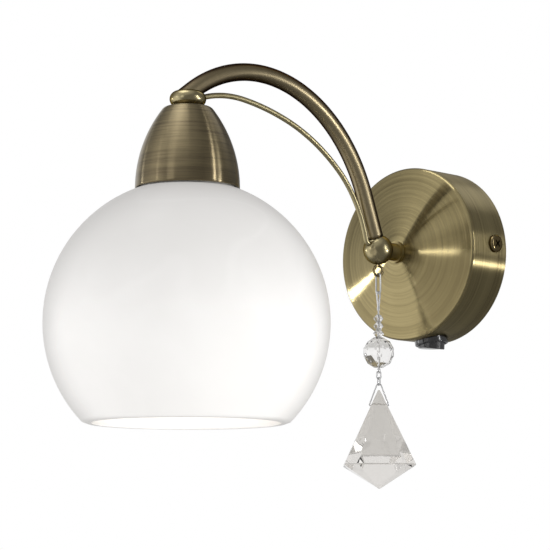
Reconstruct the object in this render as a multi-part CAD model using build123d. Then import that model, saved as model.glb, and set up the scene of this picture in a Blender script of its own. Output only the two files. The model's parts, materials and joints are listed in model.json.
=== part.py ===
"""Wall light with a curved arm, an open glass globe and a hanging crystal.

Millimetres. The origin is the centre of the canopy's back, on the wall.
+Z is up, +Y goes into the wall and the lamp stands out along -Y.
Outlines in the arm's plane are drawn as (distance out from the wall, height).
"""
from build123d import *
from math import acos, atan2, cos, degrees, hypot, pi, radians, sin, sqrt, tan
import os

os.makedirs("parts", exist_ok=True)

# ---------------------------------------------------------------- fits
touch = 0.02            # pieces that bear on a curved face
thread_gap = 0.05       # screw thread in its tapped hole
hole_gap = 0.3          # screw or barrel through a plain hole
link_gap = 0.08         # wire of one ring on the wire of the next
bore_gap = 0.1          # bead on its wire, crystal on its pin
bead_gap = 0.05         # between two beads on the wire
past = 1.0              # how far a cut runs past a face

# ---------------------------------------------------------------- canopy
canopy_radius = 50.0
canopy_depth = 29.5     # wall to front rim
canopy_cone = 9.0       # how far the front face rises to its centre
canopy_wall = 1.0
canopy_edge = 2.0       # rounding of the front rim
canopy_land = 7.0       # radius of the flat at the centre of the cone

# ---------------------------------------------------------------- wall bracket
strap_thick = 2.0
strap_width = 24.0
tab_gap = 0.5           # tab corner to the inside of the canopy
tab_depth = 18.0
tab_width = 16.0
slot_spacing = 60.0
slot_length = 10.0
slot_width = 5.0

# ---------------------------------------------------------------- canopy screws
side_screw_radius = 2.0
side_screw_length = 8.0
side_screw_out = 11.0   # from the wall
side_screw_rise = 3.0   # above the centre
side_head_radius = 5.0
side_head_height = 2.6
cross_width = 1.0
cross_length = 5.0
cross_depth = 1.4

# ---------------------------------------------------------------- earth stud
earth_in = 7.25         # from the strap's end
earth_drop = 5.0        # below the strap's centre line
earth_screw_radius = 2.0
earth_head_radius = 3.4
earth_head_height = 2.2
lug_radius = 3.3
lug_thick = 0.8
lug_tail = 7.0

# ---------------------------------------------------------------- terminal block
pole_pitch = 10.0
pole_count = 3
block_length = 30.0
block_height = 18.0
block_depth = 15.0
pole_radius = 2.6
pole_seat = 5.5         # pole axis in front of the strap
sleeve_length = 11.0
sleeve_bore = 1.5
clamp_radius = 1.3
clamp_place = 3.3       # clamp screws above and below the middle
clamp_sunk = 1.5        # screw head below the block's face
fixing_radius = 1.5
fixing_head = 2.4
fixing_head_height = 2.0
fixing_sunk = 6.0       # underside of its head below the block's face
screw_slot = 0.7
screw_slot_depth = 0.8

# ---------------------------------------------------------------- rocker switch
switch_angle = 8.0      # round the canopy from its lowest point
switch_out = 16.0       # from the wall
switch_bore = 8.2       # inside radius of the housing
switch_skin = 0.6       # housing wall inside the canopy
bezel_radius = 9.6
bezel_height = 2.6
housing_depth = 13.0
rocker_radius = 7.6
rocker_height = 3.9     # above its pivot
rocker_foot = 2.0       # below its pivot
rocker_pocket = 1.8     # room under its foot
rocker_edge = 0.5
rocker_rest = 12.0      # degrees, pressed on one side
rocker_valley = 3.0     # degrees that each half of the face falls to the middle
pivot_height = 1.3      # above the canopy's surface
trunnion_radius = 0.8
trunnion_gap = 0.05
trunnion_reach = 8.95
blade_spread = 3.6
blade_width = 4.8
blade_thick = 0.8
blade_length = 6.0

# ---------------------------------------------------------------- neck and ball
neck_length = 8.6
neck_radius = 5.0
neck_flange = 6.2
neck_flange_height = 1.5
nipple_radius = 4.0
nipple_bore = 2.75
nipple_in_ball = 4.4    # thread inside the ball
nipple_tail = 9.5       # thread inside the canopy
nut_flats = 13.0
nut_height = 4.0
washer_radius = 7.0
washer_thick = 0.8
ball_radius = 8.5
ball_hollow = 4.3

# ---------------------------------------------------------------- arm
arm_radius = 4.8
arm_wall = 1.0
arm_start_angle = 68.5  # above the horizontal, at the ball
arm_rise = 32.5         # straight stretch above the ball
arm_bend_radius = 90.0
arm_end_angle = 36.0    # below the horizontal, at the collar
arm_end_length = 3.5

# ---------------------------------------------------------------- accent wire
accent_radius = 1.5
accent_seat_angle = 18.0    # where it meets the ball, above the horizontal
accent_hook_radius = 3.5
accent_leave_angle = 76.0
accent_drop = 20.0          # below the arm's centre line at its middle point
accent_middle_angle = 17.0  # slope there, the same as the arm's
accent_arrive_angle = 20.0  # below the horizontal, at the collar
accent_seat_rise = 1.6      # where it meets the collar, above the middle

# ---------------------------------------------------------------- collar
collar_radius = 9.7
collar_height = 8.6
collar_below_arm = 2.9      # collar's middle below the end of the arm's centre line
cable_bore = 3.0

# ---------------------------------------------------------------- shade cup
cup_mouth_radius = 27.6
cup_height = 43.5
cup_side_arc = 70.0
cup_shoulder = 4.0
cup_wall = 0.9

# ---------------------------------------------------------------- lampholder
holder_nipple_radius = 5.0
holder_nipple_bore = 3.5
holder_nipple_in_collar = 4.0
holder_nipple_in_cap = 8.0
cap_hub_radius = 8.0
cap_hub_height = 4.0
cap_radius = 19.0
cap_shoulder_drop = 16.0
cap_height = 24.0
cap_wall = 2.0
skirt_radius = 19.6
skirt_length = 36.0
skirt_bore = 14.6
skirt_stub = 5.0
core_height = 9.0
core_sunk = 0.2         # its top below the stub's
shell_wall = 0.4
shell_length = 25.0
contact_radius = 3.0
contact_thick = 1.2
contact_width = 4.0
contact_length = 16.0
groove_width = 3.0
groove_depth = 2.0
ring_thick = 2.0
ring_hub_height = 3.5
ring_hub_wall = 2.0
upper_ring_radius = 24.5
lower_ring_radius = 25.0
grip_count = 24
grip_depth = 0.6

# ---------------------------------------------------------------- bulb
bulb_radius = 30.0
bulb_length = 105.0
bulb_glass = 0.9
bulb_base_radius = 13.2
bulb_base_length = 22.0
bulb_neck_radius = 13.6
bulb_neck_length = 6.0
bulb_tip_radius = 4.5
bulb_tip_height = 1.2
bulb_cone_height = 3.2

# ---------------------------------------------------------------- glass shade
globe_radius = 75.0
globe_wall = 3.0
globe_mouth_radius = 53.5   # outside, at the cut
globe_hole_radius = 21.0
globe_land_radius = 26.0
globe_below_cup = 0.4       # ground land under the cup's mouth

# ---------------------------------------------------------------- lamp wires
wire_radius = 0.95
wire_spread = 1.05          # each side of the arm's plane
wire_bend = 6.0             # in the ball
collar_bend_share = 0.85    # of the arm's last stretch
lead_bend = 4.0             # where a lead turns in the canopy
feed_bend = 3.0
earth_bend = 3.5
lead_start = 1.5            # behind the nipple
lead_turn = 7.0             # first corner, behind the nipple
clamp_reach = 1.0           # lead's end above its clamp screw's axis
lead_below_block = 8.0
feed_below_block = 7.0
blade_lead = 6.0            # straight stretch at the switch's blade
feed_blade_lead = 5.0
live_step = 3.0             # second bend of the live wire
live_drop = 14.0            # that bend below the centre
lug_overlap = 2.5           # earth wire on the lug's tail

# ---------------------------------------------------------------- pendant
eye_turn = 74.0             # where the eye faces, round from straight out
link_turn = 99.0            # where the link's narrow side faces
pin_turn = 84.0             # where the pin's long loop faces
lower_turn = -20.0          # where the pin's small loop faces
bail_turn = -46.0           # where the bail's narrow side faces
drop_turn = 44.0            # where the crystal's wide facet faces
eye_radius = 2.85           # to the middle of its wire
eye_wire = 0.75
stud_radius = 1.0
stud_length = 4.0
link_wire = 0.45
link_half = 1.45            # half its width, to the middle of the wire
link_pitch = 11.5
pin_half = 1.3
pin_loop_length = 9.0
pin_wrap_radius = 0.85
pin_wrap_length = 1.6
pin_neck_length = 2.6       # bare wire above the first bead
bead_radii = (2.75, 2.75, 3.1)
bead_height = 4.2
bead_land = 1.4
bead_girdle = 0.5
bead_sides = 8
large_bead_radius = 9.0
large_bead_height = 17.2
large_bead_rows = 6
large_bead_sides = 10
small_wire = 0.4
loop_radius = 1.25
small_half = 1.25
small_pitch = 4.4
bail_height = 12.4
bail_half = 5.6
bail_top_half = 1.25
bail_corner = 0.5
bail_shoulder = 0.9         # from its top to where its legs begin
drop_above_hole = 8.85
drop_girdle_below = 33.65
drop_tip_below = 13.3       # under the girdle
drop_girdle = 0.8
drop_half = 19.85
drop_top_half = 0.5
drop_tip_half = 0.2
drop_facet_share = 0.62     # wide facet's share of the full width

# ---------------------------------------------------------------- worked out
canopy_face = canopy_depth + canopy_cone
ball_out = canopy_face + neck_length + sqrt(ball_radius ** 2 - neck_radius ** 2)
strap_half = sqrt((canopy_radius - canopy_wall) ** 2 - (side_screw_rise + tab_width / 2) ** 2) - tab_gap
earth_side = earth_in - strap_half
pole_y = -(strap_thick + pole_seat)
block_front = strap_thick + block_depth

arm_plane = Plane(origin=(0, 0, 0), x_dir=(0, -1, 0), z_dir=(-1, 0, 0))


def heading(angle):
    """Direction in the arm's plane, at an angle above the horizontal."""
    return Vector(cos(radians(angle)), sin(radians(angle)))


def after_bend(start, radius, angle_in, angle_out):
    """Where an arc that turns downwards from one angle to another ends."""
    a, b = radians(angle_in), radians(angle_out)
    return start + Vector(radius * (sin(a) - sin(b)), radius * (cos(b) - cos(a)))


ball_centre = Vector(ball_out, 0)
arm_bend_start = ball_centre + heading(arm_start_angle) * arm_rise
arm_bend_end = after_bend(arm_bend_start, arm_bend_radius, arm_start_angle, -arm_end_angle)
arm_end = arm_bend_end + heading(-arm_end_angle) * arm_end_length
arm_centre = arm_bend_start + heading(arm_start_angle - 90) * arm_bend_radius

lamp_out = arm_end.X
collar_z = arm_end.Y - collar_below_arm
cup_top = collar_z - collar_height / 2
cup_mouth = cup_top - cup_height
holder_top = cup_top - cup_wall
skirt_top = holder_top - cap_height
core_top = skirt_top + skirt_stub - core_sunk
core_bottom = core_top - core_height
contact_bottom = core_bottom - contact_thick
globe_land = cup_mouth - globe_below_cup
globe_z = globe_land - sqrt(globe_radius ** 2 - globe_land_radius ** 2)
globe_mouth_z = globe_z - sqrt(globe_radius ** 2 - globe_mouth_radius ** 2)

eye_z = -(ball_radius + eye_radius + eye_wire)
upper_pivot = eye_z - eye_radius
link_top = upper_pivot + eye_wire + link_wire + link_gap
pin_pivot = link_top - link_pitch
pin_top = pin_pivot + 2 * link_wire + link_gap
bead_top = pin_top - pin_loop_length - pin_wrap_length - pin_neck_length
large_bead_top = bead_top - len(bead_radii) * (bead_height + bead_gap)
loop_z = large_bead_top - large_bead_height - bead_gap - loop_radius - small_wire
lower_pivot = loop_z - loop_radius
small_step = 2 * small_wire + link_gap
lower_top = lower_pivot + small_step
second_pivot = lower_top - small_pitch
second_top = second_pivot + small_step
bail_pivot = second_top - small_pitch
bail_top = bail_pivot + small_step
drop_hole_z = bail_top - bail_height


# ---------------------------------------------------------------- helpers
def outline(*points):
    return make_face(Polyline(*points, close=True))


def rounded(face, corners, radius):
    """The same face with some of its corners rounded."""
    picked = [face.vertices().sort_by_distance(Vector(*corner))[0] for corner in corners]
    return fillet(picked, radius)


def turned_out(face):
    """Turn an outline of (distance out, radius) about the line out of the wall."""
    return revolve(arm_plane * face, Axis.Y)


def turned_upright(face):
    """Turn an outline of (radius, height) about the lamp's upright axis."""
    return Pos(0, -lamp_out, 0) * revolve(Plane.XZ * face, Axis.Z)


def rod(radius, start, end):
    """Round bar from one point to another."""
    start, end = Vector(*start), Vector(*end)
    along = end - start
    return extrude(Plane(origin=start, z_dir=along) * Circle(radius), along.length)


def in_arm_plane(point, side=0.0):
    """A point of the arm's plane, moved sideways, in the part's own frame."""
    return Vector(side, -point.X, point.Y)


def round_wire(path, radius):
    return sweep((path ^ 0) * Circle(radius), path=path)


def wire_ring(radius, wire):
    """A ring of round wire, upright, facing straight out."""
    return Rot(90, 0, 0) * Torus(radius, wire)


def oval_link(half, pitch, wire):
    """A link of round wire that hangs from its top, facing sideways along X."""
    straight = pitch - 2 * half
    bend = revolve(Plane.XY * (Pos(0, half) * Circle(wire)), Axis.X, 180)
    legs = [rod(wire, (0, side * half, 0), (0, side * half, -straight)) for side in (-1, 1)]
    low = Pos(0, 0, -straight) * mirror(bend, Plane.XY)
    return Pos(0, 0, -half) * (bend + legs[0] + legs[1] + low)


def hung(shape, turn, z=0.0):
    """Turn a piece of the pendant round its own line and hang it under the ball."""
    return Pos(0, -ball_out, z) * Rot(0, 0, turn) * shape


# ---------------------------------------------------------------- canopy and bracket
def switch_plane():
    """Origin on the canopy's surface, z outwards, y away from the wall."""
    across = (cos(radians(switch_angle)), 0, sin(radians(switch_angle)))
    outwards = Vector(sin(radians(switch_angle)), 0, -cos(radians(switch_angle)))
    origin = outwards * canopy_radius + Vector(0, -switch_out, 0)
    return Plane(origin=origin, x_dir=across, z_dir=outwards)


def side_screw_bars(radius, inner, outer):
    """Bars along X through both side screw places."""
    bars = []
    for side in (-1, 1):
        start = (side * inner, -side_screw_out, side_screw_rise)
        bars.append(rod(radius, start, (side * outer, -side_screw_out, side_screw_rise)))
    return bars


def canopy():
    inner_radius = canopy_radius - canopy_wall
    slope = canopy_cone / (canopy_radius - canopy_land)
    inner_rim = canopy_depth + canopy_wall * slope - canopy_wall
    hole = nipple_radius + hole_gap
    rim = (canopy_depth, canopy_radius)
    inside = (inner_rim, inner_radius)
    face = outline((0, canopy_radius), rim, (canopy_face, canopy_land), (canopy_face, hole),
                   (canopy_face - canopy_wall, hole), (canopy_face - canopy_wall, canopy_land),
                   inside, (0, inner_radius))
    face = rounded(face, [rim], canopy_edge)
    face = rounded(face, [inside], max(canopy_edge - canopy_wall, canopy_wall / 3))
    body = turned_out(face)
    body -= side_screw_bars(side_screw_radius + hole_gap, inner_radius - past, canopy_radius + past)
    barrel = switch_bore + switch_skin + bore_gap
    return body - switch_plane() * Pos(0, 0, -barrel / 2) * Cylinder(barrel, barrel + 2 * past)


def wall_bracket():
    strap = Pos(0, -strap_thick / 2, 0) * Box(2 * strap_half, strap_thick, strap_width)
    for side in (-1, 1):
        tab = Box(strap_thick, tab_depth, tab_width)
        strap += Pos(side * (strap_half - strap_thick / 2), -tab_depth / 2, side_screw_rise) * tab
        slot = Plane.XZ * (Pos(side * slot_spacing / 2, 0) * SlotOverall(slot_length, slot_width))
        strap -= extrude(slot, strap_thick + past, both=True)
    strap -= side_screw_bars(side_screw_radius + thread_gap, strap_half - 3 * strap_thick, strap_half + past)
    back, front = past, -strap_thick - past
    strap -= rod(earth_screw_radius + thread_gap, (earth_side, back, -earth_drop),
                 (earth_side, front, -earth_drop))
    return strap - rod(fixing_radius + thread_gap, (pole_pitch / 2, back, 0), (pole_pitch / 2, front, 0))


def cross_recess():
    bar = Box(cross_length, cross_width, cross_depth)
    return Pos(0, 0, -cross_depth / 2) * (bar + Rot(0, 0, 90) * bar)


def pan_screw(head_radius, head_height, radius, length):
    """A screw that points down, its head's underside at z = 0."""
    head = Pos(0, 0, head_height / 2) * Cylinder(head_radius, head_height)
    head = fillet(head.edges().sort_by(Axis.Z)[-1], head_height * 0.55)
    head -= Pos(0, 0, head_height) * cross_recess()
    return head + Pos(0, 0, -length / 2) * Cylinder(radius, length)


def canopy_screws():
    screw = pan_screw(side_head_radius, side_head_height, side_screw_radius, side_screw_length)
    seats = []
    for side in (-1, 1):
        seat = Plane(origin=(side * (canopy_radius + touch), -side_screw_out, side_screw_rise),
                     x_dir=(0, 1, 1), z_dir=(side, 0, 0))
        seats.append(seat * screw)
    return Compound(seats)


def earth_screw():
    head = pan_screw(earth_head_radius, earth_head_height, earth_screw_radius, strap_thick + lug_thick)
    seat = Plane(origin=(earth_side, -strap_thick - lug_thick, -earth_drop), z_dir=(0, -1, 0))
    return seat * head


def earth_lug():
    """Ring terminal under the earth screw, its tail crimped round the wire."""
    eye = Circle(lug_radius) + Pos(0, -lug_tail / 2) * Rectangle(3, lug_tail)
    eye -= Circle(earth_screw_radius + thread_gap)
    seat = Plane(origin=(earth_side, -strap_thick, -earth_drop), x_dir=(1, 0, 0), z_dir=(0, -1, 0))
    return extrude(seat * eye, lug_thick)


# ---------------------------------------------------------------- terminal block
def pole_places():
    return [(pole - (pole_count - 1) / 2) * pole_pitch for pole in range(pole_count)]


def clamp_places():
    return [(x, z) for x in pole_places() for z in (-clamp_place, clamp_place)]


def terminal_block():
    body = Pos(0, -strap_thick - block_depth / 2, 0) * Box(block_length, block_depth, block_height)
    body = fillet(body.edges().filter_by(Axis.X).sort_by(Axis.Y)[:2], 2)
    for x in pole_places():
        body -= rod(pole_radius, (x, pole_y, -block_height), (x, pole_y, block_height))
    for x, z in clamp_places():
        body -= rod(clamp_radius + hole_gap, (x, pole_y, z), (x, -block_front - past, z))
    hole = pole_pitch / 2
    front = -block_front - past
    body -= rod(fixing_radius + thread_gap, (hole, 0, 0), (hole, front, 0))
    return body - rod(fixing_head + hole_gap, (hole, -block_front + fixing_sunk, 0), (hole, front, 0))


def terminal_sleeves():
    sleeves = []
    for x in pole_places():
        half = sleeve_length / 2
        sleeve = rod(pole_radius - thread_gap, (x, pole_y, -half), (x, pole_y, half))
        sleeve -= rod(sleeve_bore, (x, pole_y, -half - past), (x, pole_y, half + past))
        for z in (-clamp_place, clamp_place):
            sleeve -= rod(clamp_radius + thread_gap, (x, pole_y, z), (x, pole_y - pole_radius - past, z))
        sleeves.append(sleeve)
    return Compound(sleeves)


def terminal_screws():
    screws = []
    for x, z in clamp_places():
        tip = pole_y - wire_radius - touch
        head = -block_front + clamp_sunk
        screw = rod(clamp_radius, (x, tip, z), (x, head, z))
        screws.append(screw - Pos(x, head, z) * Box(screw_slot, 2 * screw_slot_depth, 3 * clamp_radius))
    return Compound(screws)


def block_screw():
    x = pole_pitch / 2
    seat = -block_front + fixing_sunk
    top = seat - fixing_head_height
    screw = rod(fixing_radius, (x, 0, 0), (x, seat, 0)) + rod(fixing_head, (x, seat, 0), (x, top, 0))
    return screw - Pos(x, top, 0) * Box(screw_slot, 2 * screw_slot_depth, 3 * fixing_head)


# ---------------------------------------------------------------- rocker switch
def switch_body():
    barrel = switch_bore + switch_skin
    floor = pivot_height - rocker_foot - rocker_pocket
    face = outline((0, -housing_depth), (barrel, -housing_depth), (barrel, touch), (bezel_radius, touch),
                   (bezel_radius, bezel_height), (switch_bore, bezel_height),
                   (switch_bore, floor), (0, floor))
    face = rounded(face, [(bezel_radius, bezel_height)], (bezel_radius - switch_bore) / 2)
    body = revolve(Plane.XZ * face, Axis.Z)
    reach = trunnion_reach + bore_gap
    body -= rod(trunnion_radius + trunnion_gap, (0, -reach, pivot_height), (0, reach, pivot_height))
    return switch_plane() * body


def switch_rocker():
    """Round paddle on two trunnions, its face falling slightly to the middle."""
    tall = rocker_height + rocker_foot
    paddle = Pos(0, 0, tall / 2 - rocker_foot) * Cylinder(rocker_radius, tall)
    valley = rocker_height - rocker_radius * tan(radians(rocker_valley))
    for side in (-1, 1):
        wedge = Pos(side * rocker_radius, 0, tall / 2) * Box(2 * rocker_radius, 3 * rocker_radius, tall)
        paddle -= Pos(0, 0, valley) * Rot(0, -side * rocker_valley, 0) * wedge
    crown = [edge for edge in paddle.edges() if edge.center().Z > valley
             and hypot(edge.center().X, edge.center().Y) > rocker_radius / 3]
    paddle = fillet(crown, rocker_edge)
    paddle += rod(trunnion_radius, (0, -trunnion_reach, 0), (0, trunnion_reach, 0))
    return switch_plane() * Pos(0, 0, pivot_height) * Rot(0, -rocker_rest, 0) * paddle


def switch_blades():
    blades = [Pos(side * blade_spread, 0, -housing_depth - blade_length / 2)
              * Box(blade_thick, blade_width, blade_length) for side in (-1, 1)]
    return Compound([switch_plane() * blade for blade in blades])


def blade_end(side):
    """Middle of a blade's inner end."""
    frame = switch_plane()
    return frame.origin + frame.x_dir * (side * blade_spread) - frame.z_dir * (housing_depth + blade_length)


# ---------------------------------------------------------------- neck, ball, arm
def neck_spacer():
    """Flanged sleeve between the canopy's centre and the ball."""
    body = turned_out(outline((canopy_face, nipple_radius + hole_gap), (canopy_face, neck_flange),
                              (canopy_face + neck_flange_height, neck_flange),
                              (canopy_face + neck_flange_height, neck_radius),
                              (ball_out, neck_radius), (ball_out, nipple_radius + hole_gap)))
    return body - Pos(0, -ball_out, 0) * Sphere(ball_radius + touch)


def nipple_front():
    return ball_out - ball_radius + nipple_in_ball


def nipple_back():
    return canopy_face - nipple_tail


def knuckle_nipple():
    return turned_out(outline((nipple_back(), nipple_bore), (nipple_back(), nipple_radius),
                              (nipple_front(), nipple_radius), (nipple_front(), nipple_bore)))


def lock_washer():
    back = canopy_face - canopy_wall
    hole = nipple_radius + hole_gap
    return turned_out(outline((back, hole), (back, washer_radius), (back - washer_thick, washer_radius),
                              (back - washer_thick, hole)))


def hex_nut():
    back = canopy_face - canopy_wall - washer_thick
    shape = RegularPolygon(nut_flats / 2, 6, major_radius=False) - Circle(nipple_radius + thread_gap)
    return extrude(Plane(origin=(0, -back, 0), z_dir=(0, 1, 0)) * shape, nut_height)


def knuckle_ball():
    ball = Pos(0, -ball_out, 0) * Sphere(ball_radius)
    ball -= Pos(0, -ball_out, 0) * Sphere(ball_hollow)
    ball -= rod(nipple_radius + thread_gap, (0, -nipple_front() - bore_gap, 0), (0, -canopy_face, 0))
    ball -= rod(cable_bore, in_arm_plane(ball_centre), (0, -canopy_face, 0))
    far = ball_centre + heading(arm_start_angle) * (ball_radius + past)
    ball -= rod(cable_bore, in_arm_plane(ball_centre), in_arm_plane(far))
    return ball - rod(stud_radius + thread_gap, (0, -ball_out, -ball_radius + stud_length + bore_gap),
                      (0, -ball_out, -ball_radius - past))


def arm_line(start):
    """The arm's centre line from a point of its straight foot to the start of its last stretch."""
    foot = Line(start, arm_bend_start)
    bend = JernArc(arm_bend_start, heading(arm_start_angle), arm_bend_radius,
                   -(arm_start_angle + arm_end_angle))
    return [foot, bend]


def placed(edges, side=0.0):
    """Joined lines of the arm's plane as one path in the part's own frame."""
    return Pos(side, 0, 0) * (arm_plane * Wire([e for part in edges for e in part.edges()]))


def collar_blank(grow=0.0):
    """Squashed ball: flat above and below, fully rounded round its side."""
    half = collar_height / 2 + grow
    flat = collar_radius - collar_height / 2
    face = make_face([Line((0, -half), (flat, -half)),
                      ThreePointArc((flat, -half), (flat + half, 0), (flat, half)),
                      Line((flat, half), (0, half)), Line((0, half), (0, -half))])
    return Pos(0, 0, collar_z) * turned_upright(face)


def arm_tube():
    """Bent tube whose ends are cut to the ball and to the collar's top."""
    inside_collar = arm_end + heading(-arm_end_angle) * collar_radius * 0.75
    path = placed(arm_line(ball_centre) + [Line(arm_bend_end, inside_collar)])
    tube = sweep((path ^ 0) * (Circle(arm_radius) - Circle(arm_radius - arm_wall)), path=path)
    tube -= Pos(0, -ball_out, 0) * Sphere(ball_radius + touch)
    tube -= collar_blank(touch)
    return max(tube.solids(), key=lambda piece: piece.volume)


def tangent_arcs(start, start_angle, end, end_angle):
    """Two arcs that join two points, each with its own slope, smoothly."""
    first, last = heading(start_angle), heading(end_angle)
    chord = end - start
    both = first + last
    fall = chord.dot(both)
    room = 2 * (1 - first.dot(last))
    reach = (-fall + sqrt(fall ** 2 + room * chord.dot(chord))) / room
    near, far = start + first * reach, end - last * reach
    join = (near + far) * 0.5
    return [TangentArc(start, join, tangent=first), TangentArc(join, end, tangent=far - near)]


def accent_wire():
    seat = ball_centre + heading(accent_seat_angle) * (ball_radius - accent_radius)
    hook = seat + heading(accent_seat_angle) * accent_radius
    bend = JernArc(hook, heading(accent_seat_angle), accent_hook_radius,
                   accent_leave_angle - accent_seat_angle)
    middle = arm_centre + heading(90 + accent_middle_angle) * (arm_bend_radius - accent_drop)
    collar_side = Vector(lamp_out - collar_radius + accent_radius, collar_z + accent_seat_rise)
    path = placed([Line(seat, hook), bend]
                  + tangent_arcs(bend @ 1, accent_leave_angle, middle, accent_middle_angle)
                  + tangent_arcs(middle, accent_middle_angle, collar_side, -accent_arrive_angle))
    wire = round_wire(path, accent_radius)
    wire -= Pos(0, -ball_out, 0) * Sphere(ball_radius + touch)
    wire -= collar_blank(touch)
    return max(wire.solids(), key=lambda piece: piece.volume)


def collar():
    body = collar_blank()
    nipple_top = cup_top + holder_nipple_in_collar
    body -= rod(holder_nipple_radius + thread_gap, (0, -lamp_out, cup_top - past),
                (0, -lamp_out, nipple_top + bore_gap))
    back = arm_end - heading(-arm_end_angle) * 2 * collar_radius
    body -= rod(cable_bore, in_arm_plane(arm_end), in_arm_plane(back))
    body -= Pos(*in_arm_plane(arm_end)) * Sphere(cable_bore)
    return body - rod(cable_bore, (0, -lamp_out, arm_end.Y), (0, -lamp_out, nipple_top))


# ---------------------------------------------------------------- cup and lampholder
def cup_outline(inset):
    """Half outline of the cup's side, moved inwards by its wall where asked."""
    radius = cup_side_arc - inset
    centre = cup_mouth_radius - cup_side_arc
    top = cup_height - inset
    shoulder = centre + sqrt(radius ** 2 - top ** 2)
    middle = centre + sqrt(radius ** 2 - (top / 2) ** 2)
    mouth = cup_mouth_radius - inset
    face = make_face([Line((0, 0), (mouth, 0)),
                      ThreePointArc((mouth, 0), (middle, top / 2), (shoulder, top)),
                      Line((shoulder, top), (0, top)), Line((0, top), (0, 0))])
    return rounded(face, [(shoulder, top)], cup_shoulder - inset)


def shade_cup():
    hole = rod(holder_nipple_radius + hole_gap, (0, -lamp_out, cup_mouth), (0, -lamp_out, cup_top + past))
    solid = turned_upright(cup_outline(0)) - turned_upright(cup_outline(cup_wall))
    return Pos(0, 0, cup_mouth) * solid - hole


def holder_nipple():
    top, bottom = cup_top + holder_nipple_in_collar, holder_top - holder_nipple_in_cap
    return turned_upright(outline((holder_nipple_bore, bottom), (holder_nipple_radius, bottom),
                                  (holder_nipple_radius, top), (holder_nipple_bore, top)))


def lampholder_cap():
    hole = holder_nipple_radius + thread_gap
    bottom = holder_top - cap_height
    shoulder = holder_top - cap_shoulder_drop
    hub = holder_top - cap_hub_height
    inner = cap_radius - cap_wall
    face = outline((hole, holder_top), (cap_hub_radius, holder_top), (cap_hub_radius, hub),
                   (cap_radius, shoulder), (cap_radius, bottom), (inner, bottom), (inner, shoulder - past),
                   (hole + past, holder_top - holder_nipple_in_cap), (hole, holder_top - holder_nipple_in_cap))
    return turned_upright(rounded(face, [(cap_radius, shoulder)], 3))


def lampholder_skirt():
    """Threaded sleeve that carries the shade rings, its stub screwed up into the cap."""
    bottom = skirt_top - skirt_length
    stub = cap_radius - cap_wall - thread_gap
    top = skirt_top + skirt_stub
    return turned_upright(outline((skirt_bore, bottom), (skirt_radius, bottom), (skirt_radius, skirt_top),
                                  (stub, skirt_top), (stub, top), (skirt_bore, top)))


def lampholder_core():
    """Insulating block that holds the contacts, in the top of the skirt."""
    body = rod(skirt_bore - thread_gap, (0, -lamp_out, core_bottom), (0, -lamp_out, core_top))
    return body - Pos(0, -lamp_out, core_top) * Box(groove_width, contact_length, 2 * groove_depth)


def centre_contact():
    strip = Box(contact_width, contact_length, contact_thick / 2)
    boss = Pos(0, 0, -contact_thick / 2) * Cylinder(contact_radius, contact_thick / 2)
    return Pos(0, -lamp_out, core_bottom - contact_thick / 4) * (strip + boss)


def threaded_shell():
    outer = skirt_bore - thread_gap
    bottom = core_bottom - shell_length
    return turned_upright(outline((outer - shell_wall, bottom), (outer, bottom),
                                  (outer, core_bottom - touch), (outer - shell_wall, core_bottom - touch)))


def shade_ring(radius, face_z, hub_down):
    """Threaded ring with a notched flange: face_z is the side that bears on the glass."""
    hole = skirt_radius + thread_gap
    away = -1 if hub_down else 1
    rim, hub = face_z + away * ring_thick, face_z + away * ring_hub_height
    body = turned_upright(outline((hole, face_z), (radius, face_z), (radius, rim),
                                  (hole + ring_hub_wall, rim), (hole + ring_hub_wall, hub), (hole, hub)))
    for grip in range(grip_count):
        turn = Rot(0, 0, grip * 360 / grip_count)
        notch = Pos(radius + grip_depth / 2, 0, 0) * Cylinder(grip_depth, 3 * ring_thick)
        body -= Pos(0, -lamp_out, face_z) * turn * notch
    return body


# ---------------------------------------------------------------- glass and bulb
def glass_shade():
    inner = globe_radius - globe_wall
    land_in = globe_land - globe_wall
    top_angle = degrees(atan2(globe_land - globe_z, globe_land_radius))
    low_angle = degrees(atan2(globe_mouth_z - globe_z, globe_mouth_radius))
    inner_land = sqrt(inner ** 2 - (land_in - globe_z) ** 2)
    inner_mouth = sqrt(inner ** 2 - (globe_mouth_z - globe_z) ** 2)
    in_top = degrees(atan2(land_in - globe_z, inner_land))
    in_low = degrees(atan2(globe_mouth_z - globe_z, inner_mouth))
    outside = CenterArc((0, globe_z), globe_radius, low_angle, top_angle - low_angle)
    inside = CenterArc((0, globe_z), inner, in_low, in_top - in_low)
    hole = globe_hole_radius
    face = make_face([outside, Line(outside @ 1, (hole, globe_land)),
                      Line((hole, globe_land), (hole, land_in)), Line((hole, land_in), inside @ 1),
                      inside, Line(inside @ 0, outside @ 0)])
    face = rounded(face, [outside @ 0, inside @ 0], globe_wall * 0.3)
    return turned_upright(face)


def bulb_top():
    return contact_bottom - touch


def bulb_outline(inset):
    """Half outline of the bulb's glass: round crown, cone and straight neck."""
    crown = bulb_top() - bulb_length
    centre = crown + bulb_radius
    neck_top = bulb_top() - bulb_tip_height - bulb_cone_height - bulb_base_length - inset
    neck_low = neck_top - bulb_neck_length + inset
    radius = bulb_radius - inset
    neck_radius = bulb_neck_radius - inset
    reach = hypot(neck_radius, neck_low - centre)
    tangent = degrees(atan2(neck_low - centre, neck_radius) - acos(radius / reach))
    ball = CenterArc((0, centre), radius, -90, 90 + tangent)
    return make_face([Line((0, neck_top), (0, centre - radius)), ball,
                      Line(ball @ 1, (neck_radius, neck_low)),
                      Line((neck_radius, neck_low), (neck_radius, neck_top)),
                      Line((neck_radius, neck_top), (0, neck_top))])


def bulb_envelope():
    return turned_upright(bulb_outline(0)) - turned_upright(bulb_outline(bulb_glass))


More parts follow.
